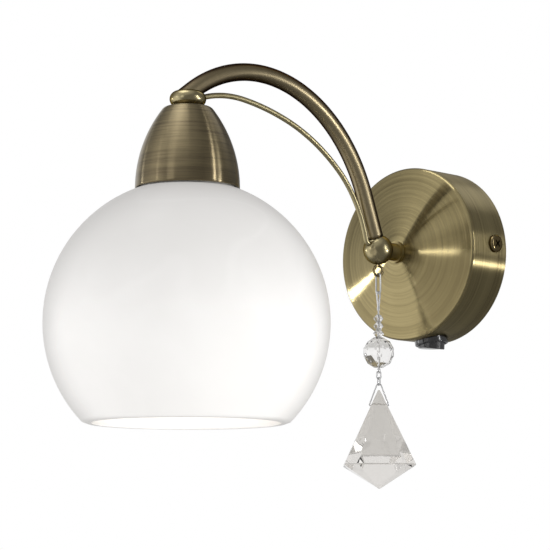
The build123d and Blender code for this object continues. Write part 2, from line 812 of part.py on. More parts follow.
def bulb_base():
    """Screw shell that closes onto the insulating cone, one solid."""
    top = bulb_top() - bulb_tip_height
    shell = top - bulb_cone_height
    bottom = shell - bulb_base_length
    return turned_upright(outline((0, top), (bulb_tip_radius, top), (bulb_base_radius, shell),
                                  (bulb_base_radius, bottom), (0, bottom)))


def bulb_tip():
    top = bulb_top()
    return rod(bulb_tip_radius, (0, -lamp_out, top - bulb_tip_height), (0, -lamp_out, top))


# ---------------------------------------------------------------- wires
def lamp_run(side, entry):
    """A wire from its first bends in the canopy, through neck, ball, arm and collar to the lampholder."""
    turn = wire_bend * tan(radians(arm_start_angle / 2))
    drop_turn_angle = 90 - arm_end_angle
    last_bend = collar_bend_share * arm_end_length / tan(radians(drop_turn_angle / 2))
    last_reach = last_bend * tan(radians(drop_turn_angle / 2))
    into_ball = Vector(ball_out - turn, 0)
    inlet = Vector(nipple_back() - lead_start, 0)
    first = Line(inlet, into_ball)
    ball_bend = JernArc(into_ball, heading(0), wire_bend, arm_start_angle)
    before = arm_end - heading(-arm_end_angle) * last_reach
    down = JernArc(before, heading(-arm_end_angle), last_bend, -drop_turn_angle)
    foot = [first, ball_bend] + arm_line(ball_bend @ 1)
    path = foot + [Line(arm_bend_end, before), down, Line(down @ 1, (lamp_out, core_top + touch))]
    edges = list(placed(path, side).edges())
    lead_in = FilletPolyline(*entry, in_arm_plane(inlet, side), radius=lead_bend)
    return Wire(list(lead_in.edges()) + edges)


def wire_inlet(side, drop):
    """Corner points just behind the nipple, one above the other."""
    out = nipple_back() - lead_turn
    return [(side, -out, -drop), (side, -out, 0)]


def clamp_start(x):
    return (x, pole_y, clamp_reach - clamp_place)


def neutral_wire():
    low = -(block_height / 2 + lead_below_block)
    entry = [clamp_start(0), (0, pole_y, low)] + wire_inlet(-wire_spread, -low)
    return round_wire(lamp_run(-wire_spread, entry), wire_radius)


def live_wire():
    end = blade_end(-1)
    rise = end - switch_plane().z_dir * blade_lead
    step = (wire_spread, rise.Y - live_step, rise.Z + live_step)
    entry = [end, rise, step] + wire_inlet(wire_spread, live_drop)[1:]
    return round_wire(lamp_run(wire_spread, entry), wire_radius)


def switch_feed_wire():
    end = blade_end(1)
    rise = end - switch_plane().z_dir * feed_blade_lead
    x = pole_places()[-1]
    path = FilletPolyline(clamp_start(x), (x, pole_y, -block_height / 2 - feed_below_block), rise, end,
                          radius=feed_bend)
    return round_wire(path, wire_radius)


def earth_wire():
    x = pole_places()[0]
    lug_y = -strap_thick - lug_thick - wire_radius - touch
    low = -block_height / 2 - lead_below_block
    tail = (earth_side, lug_y, -earth_drop - lug_tail + lug_overlap)
    path = FilletPolyline(clamp_start(x), (x, pole_y, low), (earth_side, lug_y, low), tail,
                          radius=earth_bend)
    return round_wire(path, wire_radius)


# ---------------------------------------------------------------- pendant
def pendant_eyelet():
    ring = wire_ring(eye_radius, eye_wire)
    stud = rod(stud_radius, (0, 0, eye_radius), (0, 0, eye_radius + eye_wire + stud_length))
    return hung(ring + stud, eye_turn, eye_z)


def upper_link():
    return hung(oval_link(link_half, link_pitch, link_wire), link_turn, link_top)


def bead_pin():
    """One wire: a drop-shaped loop, a wrapped neck, the shank for the beads and a small loop below."""
    neck_top = pin_top - pin_loop_length
    arch = revolve(Plane.XY * (Pos(pin_half, 0) * Circle(link_wire)), Axis.Y, -180)
    loop = Pos(0, 0, pin_top - pin_half) * arch
    for side in (-1, 1):
        loop += rod(link_wire, (side * pin_half, 0, pin_top - pin_half), (side * link_wire / 2, 0, neck_top))
        loop += Pos(side * pin_half, 0, pin_top - pin_half) * Sphere(link_wire)
    loop += rod(pin_wrap_radius, (0, 0, neck_top + 0.4), (0, 0, neck_top - pin_wrap_length))
    loop += rod(link_wire, (0, 0, neck_top), (0, 0, loop_z + loop_radius))
    lower = Pos(0, 0, loop_z) * Rot(0, 0, lower_turn - pin_turn) * wire_ring(loop_radius, small_wire)
    return hung(loop + lower, pin_turn)


def cut_bead(radius):
    """Eight-sided double cone with flats at its ends and a thin girdle, bored through."""
    half = bead_height / 2
    steps = [(-half, bead_land), (-bead_girdle / 2, radius), (bead_girdle / 2, radius), (half, bead_land)]
    body = loft([Pos(0, 0, z) * RegularPolygon(r, bead_sides) for z, r in steps], ruled=True)
    return body - Cylinder(link_wire + bore_gap, bead_height + past)


def small_bead(index):
    top = bead_top - index * (bead_height + bead_gap)
    return hung(cut_bead(bead_radii[index]), pin_turn, top - bead_height / 2)


def large_bead():
    """Ball of flat facets: rings of corners on a sphere, every other ring turned by half a step."""
    half = large_bead_height / 2
    first = degrees(acos(half / large_bead_radius))
    rings = []
    for row in range(large_bead_rows):
        polar = radians(first + row * (180 - 2 * first) / (large_bead_rows - 1))
        shift = 0.5 * (row % 2)
        ring = []
        for corner in range(large_bead_sides):
            turn = 2 * pi * (corner + shift) / large_bead_sides
            flat = large_bead_radius * sin(polar)
            ring.append(Vector(flat * cos(turn), flat * sin(turn), large_bead_radius * cos(polar)))
        rings.append(ring)
    faces = [Face(Wire.make_polygon(rings[0])), Face(Wire.make_polygon(rings[-1]))]
    for row in range(large_bead_rows - 1):
        upper, lower = rings[row], rings[row + 1]
        for corner in range(large_bead_sides):
            after = (corner + 1) % large_bead_sides
            lean = corner if row % 2 == 0 else after
            tip = corner if row % 2 else after
            faces.append(Face(Wire.make_polygon([upper[corner], upper[after], lower[lean]])))
            faces.append(Face(Wire.make_polygon([lower[corner], lower[after], upper[tip]])))
    ball = Solid(Shell(faces))
    if ball.volume < 0:
        ball = -ball
    ball -= Cylinder(link_wire + bore_gap, 3 * large_bead_radius)
    return hung(ball, pin_turn, large_bead_top - half)


def small_link(quarter, top):
    return hung(oval_link(small_half, small_pitch, small_wire), lower_turn + quarter, top)


def drop_bail():
    """Pinched wire loop: narrow at the top, its straight foot through the crystal."""
    crown = 0.4 * bail_top_half
    path = FilletPolyline((crown, 0), (bail_top_half, -bail_shoulder), (bail_half, -bail_height),
                          (-bail_half, -bail_height), (-bail_top_half, -bail_shoulder), (-crown, 0),
                          radius=bail_corner, close=True)
    return hung(round_wire(Plane.YZ * path, small_wire), bail_turn, bail_top)


def chamfered_square(half):
    """Four wide sides and four narrow ones."""
    wide = half * drop_facet_share
    corners = [(half, wide), (wide, half), (-wide, half), (-half, wide),
               (-half, -wide), (-wide, -half), (wide, -half), (half, -wide)]
    return outline(*corners)


def crystal_drop():
    steps = [(drop_above_hole, drop_top_half), (-drop_girdle_below + drop_girdle / 2, drop_half),
             (-drop_girdle_below - drop_girdle / 2, drop_half),
             (-drop_girdle_below - drop_tip_below, drop_tip_half)]
    body = loft([Pos(0, 0, z) * chamfered_square(half) for z, half in steps], ruled=True)
    body = Rot(0, 0, drop_turn) * body
    facing = Rot(0, 0, bail_turn)
    body -= facing * rod(small_wire + bore_gap, (0, -3 * drop_above_hole, 0), (0, 3 * drop_above_hole, 0))
    return hung(body, 0, drop_hole_z)


# ---------------------------------------------------------------- nodes
nodes = {
    "wall_bracket": wall_bracket(),
    "canopy": canopy(),
    "canopy_screws": canopy_screws(),
    "earth_screw": earth_screw(),
    "earth_lug": earth_lug(),
    "terminal_block": terminal_block(),
    "terminal_sleeves": terminal_sleeves(),
    "terminal_screws": terminal_screws(),
    "block_screw": block_screw(),
    "switch_body": switch_body(),
    "switch_rocker": switch_rocker(),
    "switch_blades": switch_blades(),
    "neck_spacer": neck_spacer(),
    "knuckle_nipple": knuckle_nipple(),
    "lock_washer": lock_washer(),
    "hex_nut": hex_nut(),
    "knuckle_ball": knuckle_ball(),
    "arm_tube": arm_tube(),
    "accent_wire": accent_wire(),
    "collar": collar(),
    "shade_cup": shade_cup(),
    "holder_nipple": holder_nipple(),
    "lampholder_cap": lampholder_cap(),
    "lampholder_skirt": lampholder_skirt(),
    "lampholder_core": lampholder_core(),
    "centre_contact": centre_contact(),
    "threaded_shell": threaded_shell(),
    "upper_shade_ring": shade_ring(upper_ring_radius, globe_land, False),
    "lower_shade_ring": shade_ring(lower_ring_radius, globe_land - globe_wall, True),
    "glass_shade": glass_shade(),
    "bulb_envelope": bulb_envelope(),
    "bulb_base": bulb_base(),
    "bulb_tip": bulb_tip(),
    "neutral_wire": neutral_wire(),
    "live_wire": live_wire(),
    "switch_feed_wire": switch_feed_wire(),
    "earth_wire": earth_wire(),
    "pendant_eyelet": pendant_eyelet(),
    "upper_link": upper_link(),
    "bead_pin": bead_pin(),
    "large_bead": large_bead(),
    "lower_link_1": small_link(0, lower_top),
    "lower_link_2": small_link(90, second_top),
    "drop_bail": drop_bail(),
    "crystal_drop": crystal_drop(),
}
for index in range(len(bead_radii)):
    nodes["small_bead_" + str(index + 1)] = small_bead(index)

for name, shape in nodes.items():
    export_step(shape, "parts/" + name + ".step")

print("lamp axis", round(lamp_out, 2), "collar", round(collar_z, 2), "globe", round(globe_z, 2))
print("pivots", [round(z, 3) for z in (upper_pivot, pin_pivot, lower_pivot, second_pivot, bail_pivot, drop_hole_z)])
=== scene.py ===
import json
import math
import bmesh
import bpy
import numpy as np
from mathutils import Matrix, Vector


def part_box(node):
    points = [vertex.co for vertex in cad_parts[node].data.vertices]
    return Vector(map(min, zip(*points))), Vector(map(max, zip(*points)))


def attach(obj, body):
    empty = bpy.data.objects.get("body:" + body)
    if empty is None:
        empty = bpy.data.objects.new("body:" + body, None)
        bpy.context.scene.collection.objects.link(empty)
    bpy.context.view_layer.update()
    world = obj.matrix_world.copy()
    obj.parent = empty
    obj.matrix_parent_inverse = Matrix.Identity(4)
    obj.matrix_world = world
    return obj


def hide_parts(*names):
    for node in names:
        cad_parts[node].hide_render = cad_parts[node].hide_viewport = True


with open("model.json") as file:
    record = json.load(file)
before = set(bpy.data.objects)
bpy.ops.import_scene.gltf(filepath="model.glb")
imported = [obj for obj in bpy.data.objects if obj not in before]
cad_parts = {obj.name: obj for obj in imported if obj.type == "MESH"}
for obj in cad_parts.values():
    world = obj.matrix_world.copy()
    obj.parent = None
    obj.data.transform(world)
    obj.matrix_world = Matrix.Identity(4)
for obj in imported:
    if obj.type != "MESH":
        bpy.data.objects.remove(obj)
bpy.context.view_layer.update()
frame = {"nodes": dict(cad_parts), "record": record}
nodes = frame["nodes"]
print("frame loaded:", len(nodes), "nodes")

mm = 0.001
bodyOf = {n: b for b, names in frame["record"]["behaviour"]["bodies"].items() for n in names}

# camera, from the photo's perspective
photoView = {"eye": (0.8962, -1.0750, -0.1873), "aim": (0.0, -0.13887, -0.02230), "lens": 157.5,
             "sensor": 36.0, "nearest": 0.05}

cameraData = bpy.data.cameras.new("photoCamera")
cameraData.lens = photoView["lens"]
cameraData.sensor_width = photoView["sensor"]
cameraData.clip_start = photoView["nearest"]
camera = bpy.data.objects.new("photoCamera", cameraData)
bpy.context.scene.collection.objects.link(camera)
camera.location = photoView["eye"]
sight = Vector(photoView["aim"]) - Vector(photoView["eye"])
camera.rotation_euler = sight.to_track_quat("-Z", "Y").to_euler()
bpy.context.scene.camera = camera
bpy.context.scene.view_settings.view_transform = "Standard"


# small helpers for node trees
def feed(tree, socket, value):
    if isinstance(value, bpy.types.NodeSocket):
        tree.links.new(value, socket)
    elif value is not None:
        socket.default_value = value


def addNode(tree, kind, settings=None, **inputs):
    node = tree.nodes.new("ShaderNode" + kind)
    for key, value in (settings or {}).items():
        setattr(node, key, value)
    for key, value in inputs.items():
        feed(tree, node.inputs[key.replace("_", " ")], value)
    return node


def calc(tree, operation, a, b=None):
    node = tree.nodes.new("ShaderNodeMath")
    node.operation = operation
    for socket, value in zip(node.inputs, (a, b)):
        feed(tree, socket, value)
    return node.outputs[0]


def vecCalc(tree, operation, a, b=None):
    node = tree.nodes.new("ShaderNodeVectorMath")
    node.operation = operation
    feed(tree, node.inputs[0], a)
    feed(tree, node.inputs[1], b)
    return node.outputs["Value"] if operation in ("LENGTH", "DOT_PRODUCT") else node.outputs["Vector"]


def remap(tree, value, fromLow, fromHigh, toLow=0.0, toHigh=1.0, smooth=False):
    node = tree.nodes.new("ShaderNodeMapRange")
    node.interpolation_type = "SMOOTHSTEP" if smooth else "LINEAR"
    for socket, number in zip(node.inputs, (value, fromLow, fromHigh, toLow, toHigh)):
        feed(tree, socket, number)
    return node.outputs[0]


def mixColour(tree, factor, a, b):
    node = tree.nodes.new("ShaderNodeMix")
    node.data_type = "RGBA"  # then the factor and the two colours are sockets 0, 6 and 7
    feed(tree, node.inputs[0], factor)
    feed(tree, node.inputs[6], a)
    feed(tree, node.inputs[7], b)
    return node.outputs[2]


noiseSpan = (0.3, 0.7)  # most values of a noise lie between these


def noise(tree, vector, scale, detail=3.0, roughness=0.55, w=None):
    node = tree.nodes.new("ShaderNodeTexNoise")
    node.noise_dimensions = "3D" if w is None else "4D"
    feed(tree, node.inputs["Vector"], vector)
    if w is not None:
        feed(tree, node.inputs["W"], w)
    feed(tree, node.inputs["Scale"], scale)
    feed(tree, node.inputs["Detail"], detail)
    feed(tree, node.inputs["Roughness"], roughness)
    return node.outputs[0]


def colour(hexCode):
    # a written colour as the linear values that sockets take
    parts = np.array([int(hexCode[i:i + 2], 16) for i in (0, 2, 4)]) / 255
    linear = np.where(parts <= 0.04045, parts / 12.92, ((parts + 0.055) / 1.055) ** 2.4)
    return (*linear.tolist(), 1.0)


def objectCoords(tree, centre=(0, 0, 0), turn=(0, 0, 0)):
    # position on the piece from a centre, turned so that its axis is Z
    place = addNode(tree, "TexCoord").outputs["Object"]
    shifted = vecCalc(tree, "SUBTRACT", place, centre)
    if not any(turn):
        return shifted
    return addNode(tree, "Mapping", {"vector_type": "POINT"}, Vector=shifted, Rotation=turn).outputs[0]


def bump(tree, height, strength, distance, normal=None):
    node = addNode(tree, "Bump", None, Strength=strength, Distance=distance, Height=height)
    feed(tree, node.inputs["Normal"], normal)
    return node.outputs[0]


def newMaterial(name):
    material = bpy.data.materials.new(name)
    material.use_nodes = True
    tree = material.node_tree
    shader = tree.nodes["Principled BSDF"]
    return material, tree, shader


# effects that several finishes share
def newGroup(name, inputs, outputs):
    tree = bpy.data.node_groups.new(name, "ShaderNodeTree")
    kinds = {"v": "NodeSocketVector", "f": "NodeSocketFloat"}
    for label, kind, start in inputs:
        socket = tree.interface.new_socket(name=label, in_out="INPUT", socket_type=kinds[kind])
        if start is not None:
            socket.default_value = start
    for label, kind in outputs:
        tree.interface.new_socket(name=label, in_out="OUTPUT", socket_type=kinds[kind])
    return tree, tree.nodes.new("NodeGroupInput").outputs, tree.nodes.new("NodeGroupOutput").inputs


def useGroup(tree, group, **inputs):
    node = tree.nodes.new("ShaderNodeGroup")
    node.node_tree = group
    for key, value in inputs.items():
        feed(tree, node.inputs[key], value)
    return node.outputs


brushingLook = {"fineScale": 2.6, "broadScale": 0.3, "fineShare": 0.55, "streak": (0.32, 0.68),
                "tone": (0.35, 0.65), "leastRadius": 0.01 * mm}


def makeBrushing():
    # rings round the Z axis: noise over radius and height, both times Fine, and over the turn's sine and
    # cosine times Sweep
    v = brushingLook
    tree, given, made = newGroup(
        "brushing", [("Vector", "v", None), ("Fine", "f", 900.0), ("Sweep", "f", 2.0)],
        [("Streak", "f"), ("Height", "f"), ("Tone", "f")])
    split = addNode(tree, "SeparateXYZ", None, Vector=given["Vector"]).outputs
    flat = addNode(tree, "CombineXYZ", None, X=split[0], Y=split[1]).outputs[0]
    radius = calc(tree, "MAXIMUM", vecCalc(tree, "LENGTH", flat), v["leastRadius"])
    eastward = calc(tree, "MULTIPLY", calc(tree, "DIVIDE", split[0], radius), given["Sweep"])
    northward = calc(tree, "MULTIPLY", calc(tree, "DIVIDE", split[1], radius), given["Sweep"])
    across = calc(tree, "MULTIPLY", radius, given["Fine"])
    along = calc(tree, "MULTIPLY", split[2], given["Fine"])
    grid = addNode(tree, "CombineXYZ", None, X=across, Y=along, Z=eastward).outputs[0]
    fine = noise(tree, grid, v["fineScale"], 4.0, 0.75, northward)
    broad = noise(tree, grid, v["broadScale"], 3.0, 0.7, northward)
    both = calc(tree, "ADD", calc(tree, "MULTIPLY", fine, v["fineShare"]),
                calc(tree, "MULTIPLY", broad, 1 - v["fineShare"]))
    feed(tree, made["Streak"], remap(tree, both, *v["streak"]))
    feed(tree, made["Height"], fine)
    feed(tree, made["Tone"], remap(tree, broad, *v["tone"]))
    return tree


patinaLook = {"cloud": (0.35, 0.68), "fleck": (0.62, 0.74)}


def makePatina():
    # masks for soft clouds and small flecks: noise cut between a low and a high level
    tree, given, made = newGroup(
        "patina", [("Vector", "v", None), ("Size", "f", 60.0), ("Flecks", "f", 900.0)],
        [("Cloud", "f"), ("Fleck", "f")])
    cloud = noise(tree, given["Vector"], given["Size"], 4.0, 0.6)
    fleck = noise(tree, given["Vector"], given["Flecks"], 2.0, 0.5)
    feed(tree, made["Cloud"], remap(tree, cloud, *patinaLook["cloud"], smooth=True))
    feed(tree, made["Fleck"], remap(tree, fleck, *patinaLook["fleck"]))
    return tree


handlingLook = {"smudge": noiseSpan, "scuff": (0.56, 0.7), "scuffTurn": (0.5, 0.9, 0.3),
                "scuffStretch": (1.0, 14.0, 14.0)}


def makeHandling():
    # smudges that set the roughness between Low and High, and scuffs from noise stretched 14 times
    v = handlingLook
    tree, given, made = newGroup(
        "handling", [("Vector", "v", None), ("Low", "f", 0.1), ("High", "f", 0.2), ("Size", "f", 300.0)],
        [("Roughness", "f"), ("Scuff", "f")])
    smudge = noise(tree, given["Vector"], given["Size"], 5.0, 0.65)
    stretched = addNode(tree, "Mapping", None, Vector=given["Vector"], Rotation=v["scuffTurn"],
                        Scale=v["scuffStretch"]).outputs[0]
    scuff = noise(tree, stretched, given["Size"], 3.0, 0.6)
    feed(tree, made["Roughness"], remap(tree, smudge, *v["smudge"], given["Low"], given["High"]))
    feed(tree, made["Scuff"], remap(tree, scuff, *v["scuff"]))
    return tree


def makeThread():
    # helix round the Z axis: height over pitch plus the angle in turns, folded up and down each turn
    tree, given, made = newGroup("thread", [("Vector", "v", None), ("Pitch", "f", 0.001)], [("Height", "f")])
    split = addNode(tree, "SeparateXYZ", None, Vector=given["Vector"]).outputs
    angle = calc(tree, "DIVIDE", calc(tree, "ARCTAN2", split[1], split[0]), 2 * math.pi)
    turns = calc(tree, "ADD", calc(tree, "DIVIDE", split[2], given["Pitch"]), angle)
    feed(tree, made["Height"], calc(tree, "PINGPONG", turns, 0.5))
    return tree


swirlLook = {"warpScale": 7.0, "cloudScale": 16.0, "cloud": (0.35, 0.7), "veinWidth": 0.022}


def makeSwirl():
    # alabaster: noise on warped places; a vein is where it is within veinWidth of one half
    v = swirlLook
    tree, given, made = newGroup(
        "swirl", [("Vector", "v", None), ("Size", "f", 9.0), ("Warp", "f", 0.05)],
        [("Vein", "f"), ("Cloud", "f")])
    warp = addNode(tree, "TexNoise", None, Vector=given["Vector"], Scale=v["warpScale"],
                   Detail=2.0).outputs[1]
    scaled = addNode(tree, "VectorMath", {"operation": "SCALE"}, Vector=warp, Scale=given["Warp"]).outputs[0]
    place = vecCalc(tree, "ADD", given["Vector"], scaled)
    bands = noise(tree, place, given["Size"], 2.0, 0.45)
    ridge = calc(tree, "ABSOLUTE", calc(tree, "SUBTRACT", bands, 0.5))
    feed(tree, made["Vein"], remap(tree, ridge, 0.0, v["veinWidth"], 1.0, 0.0, smooth=True))
    clouds = noise(tree, place, v["cloudScale"], 4.0)
    feed(tree, made["Cloud"], remap(tree, clouds, *v["cloud"], smooth=True))
    return tree


brushing, patina, handling = makeBrushing(), makePatina(), makeHandling()
thread, swirl = makeThread(), makeSwirl()
print("shared effects built")


# finishes
lampAxis = float(((np.array(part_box("glass_shade")[0]) + np.array(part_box("glass_shade")[1])) / 2)[1])
# tints: dark streaks, body, light clouds and the painted rim shade, a darker colour painted at grazing angles
# in place of dark reflections
antiqueBrass = {"shade": "5F553B", "body": "A3956C", "glow": "BDB084", "rim": "352F26"}
cupTint = {"shade": "50463A", "body": "948768", "glow": "AA9D78", "rim": "2E2725"}
darkBrass = {"shade": "2E2828", "body": "9A8D70", "glow": "B3A684", "rim": "332A2B"}
ballBrass = {"shade": "2E2A22", "body": "9C9170", "glow": "B0A580", "rim": "2A2521"}
bronze = {"shade": "2A241B", "body": "7A6C4E", "glow": "8F8060", "rim": "2A241C"}


# the rim blend and share set how the painted shade at grazing angles falls off and how strong it is
polishedLook = {"cloudSize": 140.0, "fleckSize": 1500.0, "smudgeSize": 80.0, "fleckShare": 0.15,
                "rimBlend": 0.35, "rimShare": 0.9, "sheen": "8A7A58", "scuffBump": 0.03,
                "scuffDepth": 0.02 * mm}


def polishedBrass(name, tint, roughLow=0.10, roughHigh=0.16, cloudShare=0.35, edge=(0.45, 0.9)):
    # body colour with lighter clouds and dark flecks; painted shade darkens it towards grazing angles, in
    # place of dark reflections, over the facing range edge
    v = polishedLook
    material, tree, shader = newMaterial(name)
    place = objectCoords(tree)
    tarnish = useGroup(tree, patina, Vector=place, Size=v["cloudSize"], Flecks=v["fleckSize"])
    touched = useGroup(tree, handling, Vector=place, Low=roughLow, High=roughHigh, Size=v["smudgeSize"])
    cloud = calc(tree, "MULTIPLY", tarnish["Cloud"], cloudShare)
    base = mixColour(tree, cloud, colour(tint["body"]), colour(tint["glow"]))
    fleck = calc(tree, "MULTIPLY", tarnish["Fleck"], v["fleckShare"])
    base = mixColour(tree, fleck, base, colour(tint["shade"]))
    # painted shade: the rim colour mixed in where the surface turns away from the view
    facing = addNode(tree, "LayerWeight", None, Blend=v["rimBlend"]).outputs["Facing"]
    paintedRimMask = remap(tree, facing, *edge, 0.0, v["rimShare"], smooth=True)
    base = mixColour(tree, paintedRimMask, base, colour(tint["rim"]))
    feed(tree, shader.inputs["Base Color"], base)
    shader.inputs["Metallic"].default_value = 1.0
    shader.inputs["Specular Tint"].default_value = colour(v["sheen"])
    feed(tree, shader.inputs["Roughness"], touched["Roughness"])
    feed(tree, shader.inputs["Normal"], bump(tree, touched["Scuff"], v["scuffBump"], v["scuffDepth"]))
    return material


# the rim values set the painted shade at grazing angles
brushedLook = {"cloudSize": 35.0, "fleckSize": 1100.0, "toneShare": 0.2, "cloudShare": 0.12,
               "rimBlend": 0.3, "rim": (0.6, 1.0), "rimShare": 0.7, "front": (0.2, 0.8),
               "ringBump": 0.12, "ringDepth": 0.05 * mm}


def brushedBrass(name, tint, centre, turn, tangentRows, fine, sweep, rough, frontRough=None, streakShare=0.7):
    # rings of light and dark brass round one axis, gloss stretched across the rings, and painted shade
    # towards grazing angles
    v = brushedLook
    material, tree, shader = newMaterial(name)
    place = objectCoords(tree, centre, turn)
    rings = useGroup(tree, brushing, Vector=place, Fine=fine, Sweep=sweep)
    tarnish = useGroup(tree, patina, Vector=place, Size=v["cloudSize"], Flecks=v["fleckSize"])
    base = mixColour(tree, rings["Streak"], colour(tint["shade"]), colour(tint["body"]))
    base = mixColour(tree, 1 - streakShare, base, colour(tint["body"]))
    tone = calc(tree, "MULTIPLY", rings["Tone"], v["toneShare"])
    base = mixColour(tree, tone, base, colour(tint["glow"]))
    cloud = calc(tree, "MULTIPLY", tarnish["Cloud"], v["cloudShare"])
    base = mixColour(tree, cloud, base, colour(tint["shade"]))
    # painted shade: the rim colour mixed in at grazing angles, in place of dark reflections
    facing = addNode(tree, "LayerWeight", None, Blend=v["rimBlend"]).outputs["Facing"]
    paintedRimMask = remap(tree, facing, *v["rim"], 0.0, v["rimShare"], smooth=True)
    base = mixColour(tree, paintedRimMask, base, colour(tint["rim"]))
    feed(tree, shader.inputs["Base Color"], base)
    shader.inputs["Metallic"].default_value = 1.0
    shader.inputs["Anisotropic"].default_value = 1.0
    gloss = remap(tree, rings["Streak"], 0.0, 1.0, *rough)
    faceNormal = addNode(tree, "NewGeometry").outputs["Normal"]
    if frontRough:
        # the face is glossier than the side: how far the normal points away from the wall tells them apart
        lean = calc(tree, "ABSOLUTE", vecCalc(tree, "DOT_PRODUCT", faceNormal, (0, 1, 0)))
        front = remap(tree, rings["Streak"], 0.0, 1.0, *frontRough)
        frontShare = remap(tree, lean, *v["front"])
        gloss = calc(tree, "ADD", calc(tree, "MULTIPLY", front, frontShare),
                     calc(tree, "MULTIPLY", gloss, calc(tree, "SUBTRACT", 1.0, frontShare)))
    feed(tree, shader.inputs["Roughness"], gloss)
    # the gloss's tangent lies across the rings: the normal crossed with the direction round the axis
    fromAxis = vecCalc(tree, "SUBTRACT", addNode(tree, "TexCoord").outputs["Object"], centre)
    rows = [vecCalc(tree, "DOT_PRODUCT", fromAxis, row) for row in tangentRows]
    tangent = addNode(tree, "CombineXYZ", None, X=rows[0], Y=rows[1], Z=rows[2]).outputs[0]
    across = vecCalc(tree, "CROSS_PRODUCT", faceNormal, tangent)
    feed(tree, shader.inputs["Tangent"], vecCalc(tree, "NORMALIZE", across))
    feed(tree, shader.inputs["Normal"], bump(tree, rings["Height"], v["ringBump"], v["ringDepth"]))
    return material


# cloudSize and fleckSize over the scuffs' own size, threadDepth over the pitch
metalLook = {"cloudShare": 0.5, "cloudSize": 0.5, "fleckSize": 4, "scuffBump": 0.2, "scuffDepth": 0.03 * mm,
             "threadBump": 1.0, "threadDepth": 0.5}


def plainMetal(name, body, dark, roughLow, roughHigh, size=500.0, pitch=None, turn=(0, 0, 0),
               centre=(0, 0, 0), metallic=1.0):
    # plated or bare metal with clouds, scuffs and, on threaded pieces, a helix
    v = metalLook
    material, tree, shader = newMaterial(name)
    place = objectCoords(tree, centre, turn)
    touched = useGroup(tree, handling, Vector=place, Low=roughLow, High=roughHigh, Size=size)
    tarnish = useGroup(tree, patina, Vector=place, Size=size * v["cloudSize"], Flecks=size * v["fleckSize"])
    cloud = calc(tree, "MULTIPLY", tarnish["Cloud"], v["cloudShare"])
    base = mixColour(tree, cloud, colour(body), colour(dark))
    feed(tree, shader.inputs["Base Color"], base)
    shader.inputs["Metallic"].default_value = metallic
    feed(tree, shader.inputs["Roughness"], touched["Roughness"])
    normal = bump(tree, touched["Scuff"], v["scuffBump"], v["scuffDepth"])
    if pitch:
        turns = useGroup(tree, thread, Vector=place, Pitch=pitch)
        normal = bump(tree, turns["Height"], v["threadBump"], pitch * v["threadDepth"], normal)
    feed(tree, shader.inputs["Normal"], normal)
    return material


plasticLook = {"smudgeSize": 250.0, "cloudSize": 250.0 / 3, "fleckSize": 1500.0, "cloudShare": 0.6,
               "coatRough": 0.05, "grainSize": 3000.0, "grainBump": 0.25}


def plastic(name, body, second, roughLow, roughHigh, coat=0.0, grain=0.04 * mm):
    # moulded plastic: faint clouds of a second shade, fine grain, smudged gloss
    v = plasticLook
    material, tree, shader = newMaterial(name)
    place = objectCoords(tree)
    touched = useGroup(tree, handling, Vector=place, Low=roughLow, High=roughHigh, Size=v["smudgeSize"])
    tarnish = useGroup(tree, patina, Vector=place, Size=v["cloudSize"], Flecks=v["fleckSize"])
    cloud = calc(tree, "MULTIPLY", tarnish["Cloud"], v["cloudShare"])
    base = mixColour(tree, cloud, colour(body), colour(second))
    feed(tree, shader.inputs["Base Color"], base)
    feed(tree, shader.inputs["Roughness"], touched["Roughness"])
    shader.inputs["Coat Weight"].default_value = coat
    shader.inputs["Coat Roughness"].default_value = v["coatRough"]
    skin = noise(tree, place, v["grainSize"], 2.0)
    feed(tree, shader.inputs["Normal"], bump(tree, skin, v["grainBump"], grain))
    return material


sleeveLook = {"mottleSize": 700.0, "mottle": (0.35, 0.65), "stripeRate": 2600.0, "stripeEdge": (-0.1, 0.1),
              "rough": (0.42, 0.6), "bump": 0.2, "depth": 0.05 * mm}


def insulation(name, body, second, stripe=None):
    # soft plastic sleeve, matt and slightly mottled; the earth lead has a second colour in bands,
    # where the sine of (Y + Z) times stripeRate is above zero
    v = sleeveLook
    material, tree, shader = newMaterial(name)
    place = objectCoords(tree)
    mottle = noise(tree, place, v["mottleSize"], 3.0)
    base = mixColour(tree, remap(tree, mottle, *v["mottle"]), colour(body), colour(second))
    if stripe:
        split = addNode(tree, "SeparateXYZ", None, Vector=place).outputs
        way = calc(tree, "MULTIPLY", calc(tree, "ADD", split[1], split[2]), v["stripeRate"])
        band = remap(tree, calc(tree, "SINE", way), *v["stripeEdge"])
        base = mixColour(tree, band, base, colour(stripe))
    feed(tree, shader.inputs["Base Color"], base)
    feed(tree, shader.inputs["Roughness"], remap(tree, mottle, *noiseSpan, *v["rough"]))
    feed(tree, shader.inputs["Normal"], bump(tree, mottle, v["bump"], v["depth"]))
    return material


crystalLook = {"cloudSize": 160.0, "roughHigh": 0.035, "markSize": 900.0, "index": 1.54}


def crystalGlass(name, pale, second):
    # clear cut glass: faint tint clouds and a hint of polish marks
    v = crystalLook
    material, tree, shader = newMaterial(name)
    place = objectCoords(tree)
    cloud = noise(tree, place, v["cloudSize"], 2.0)
    marks = useGroup(tree, handling, Vector=place, Low=0.0, High=v["roughHigh"], Size=v["markSize"])
    feed(tree, shader.inputs["Base Color"], mixColour(tree, cloud, colour(pale), colour(second)))
    feed(tree, shader.inputs["Roughness"], marks["Roughness"])
    shader.inputs["Transmission Weight"].default_value = 1.0
    shader.inputs["IOR"].default_value = v["index"]
    return material


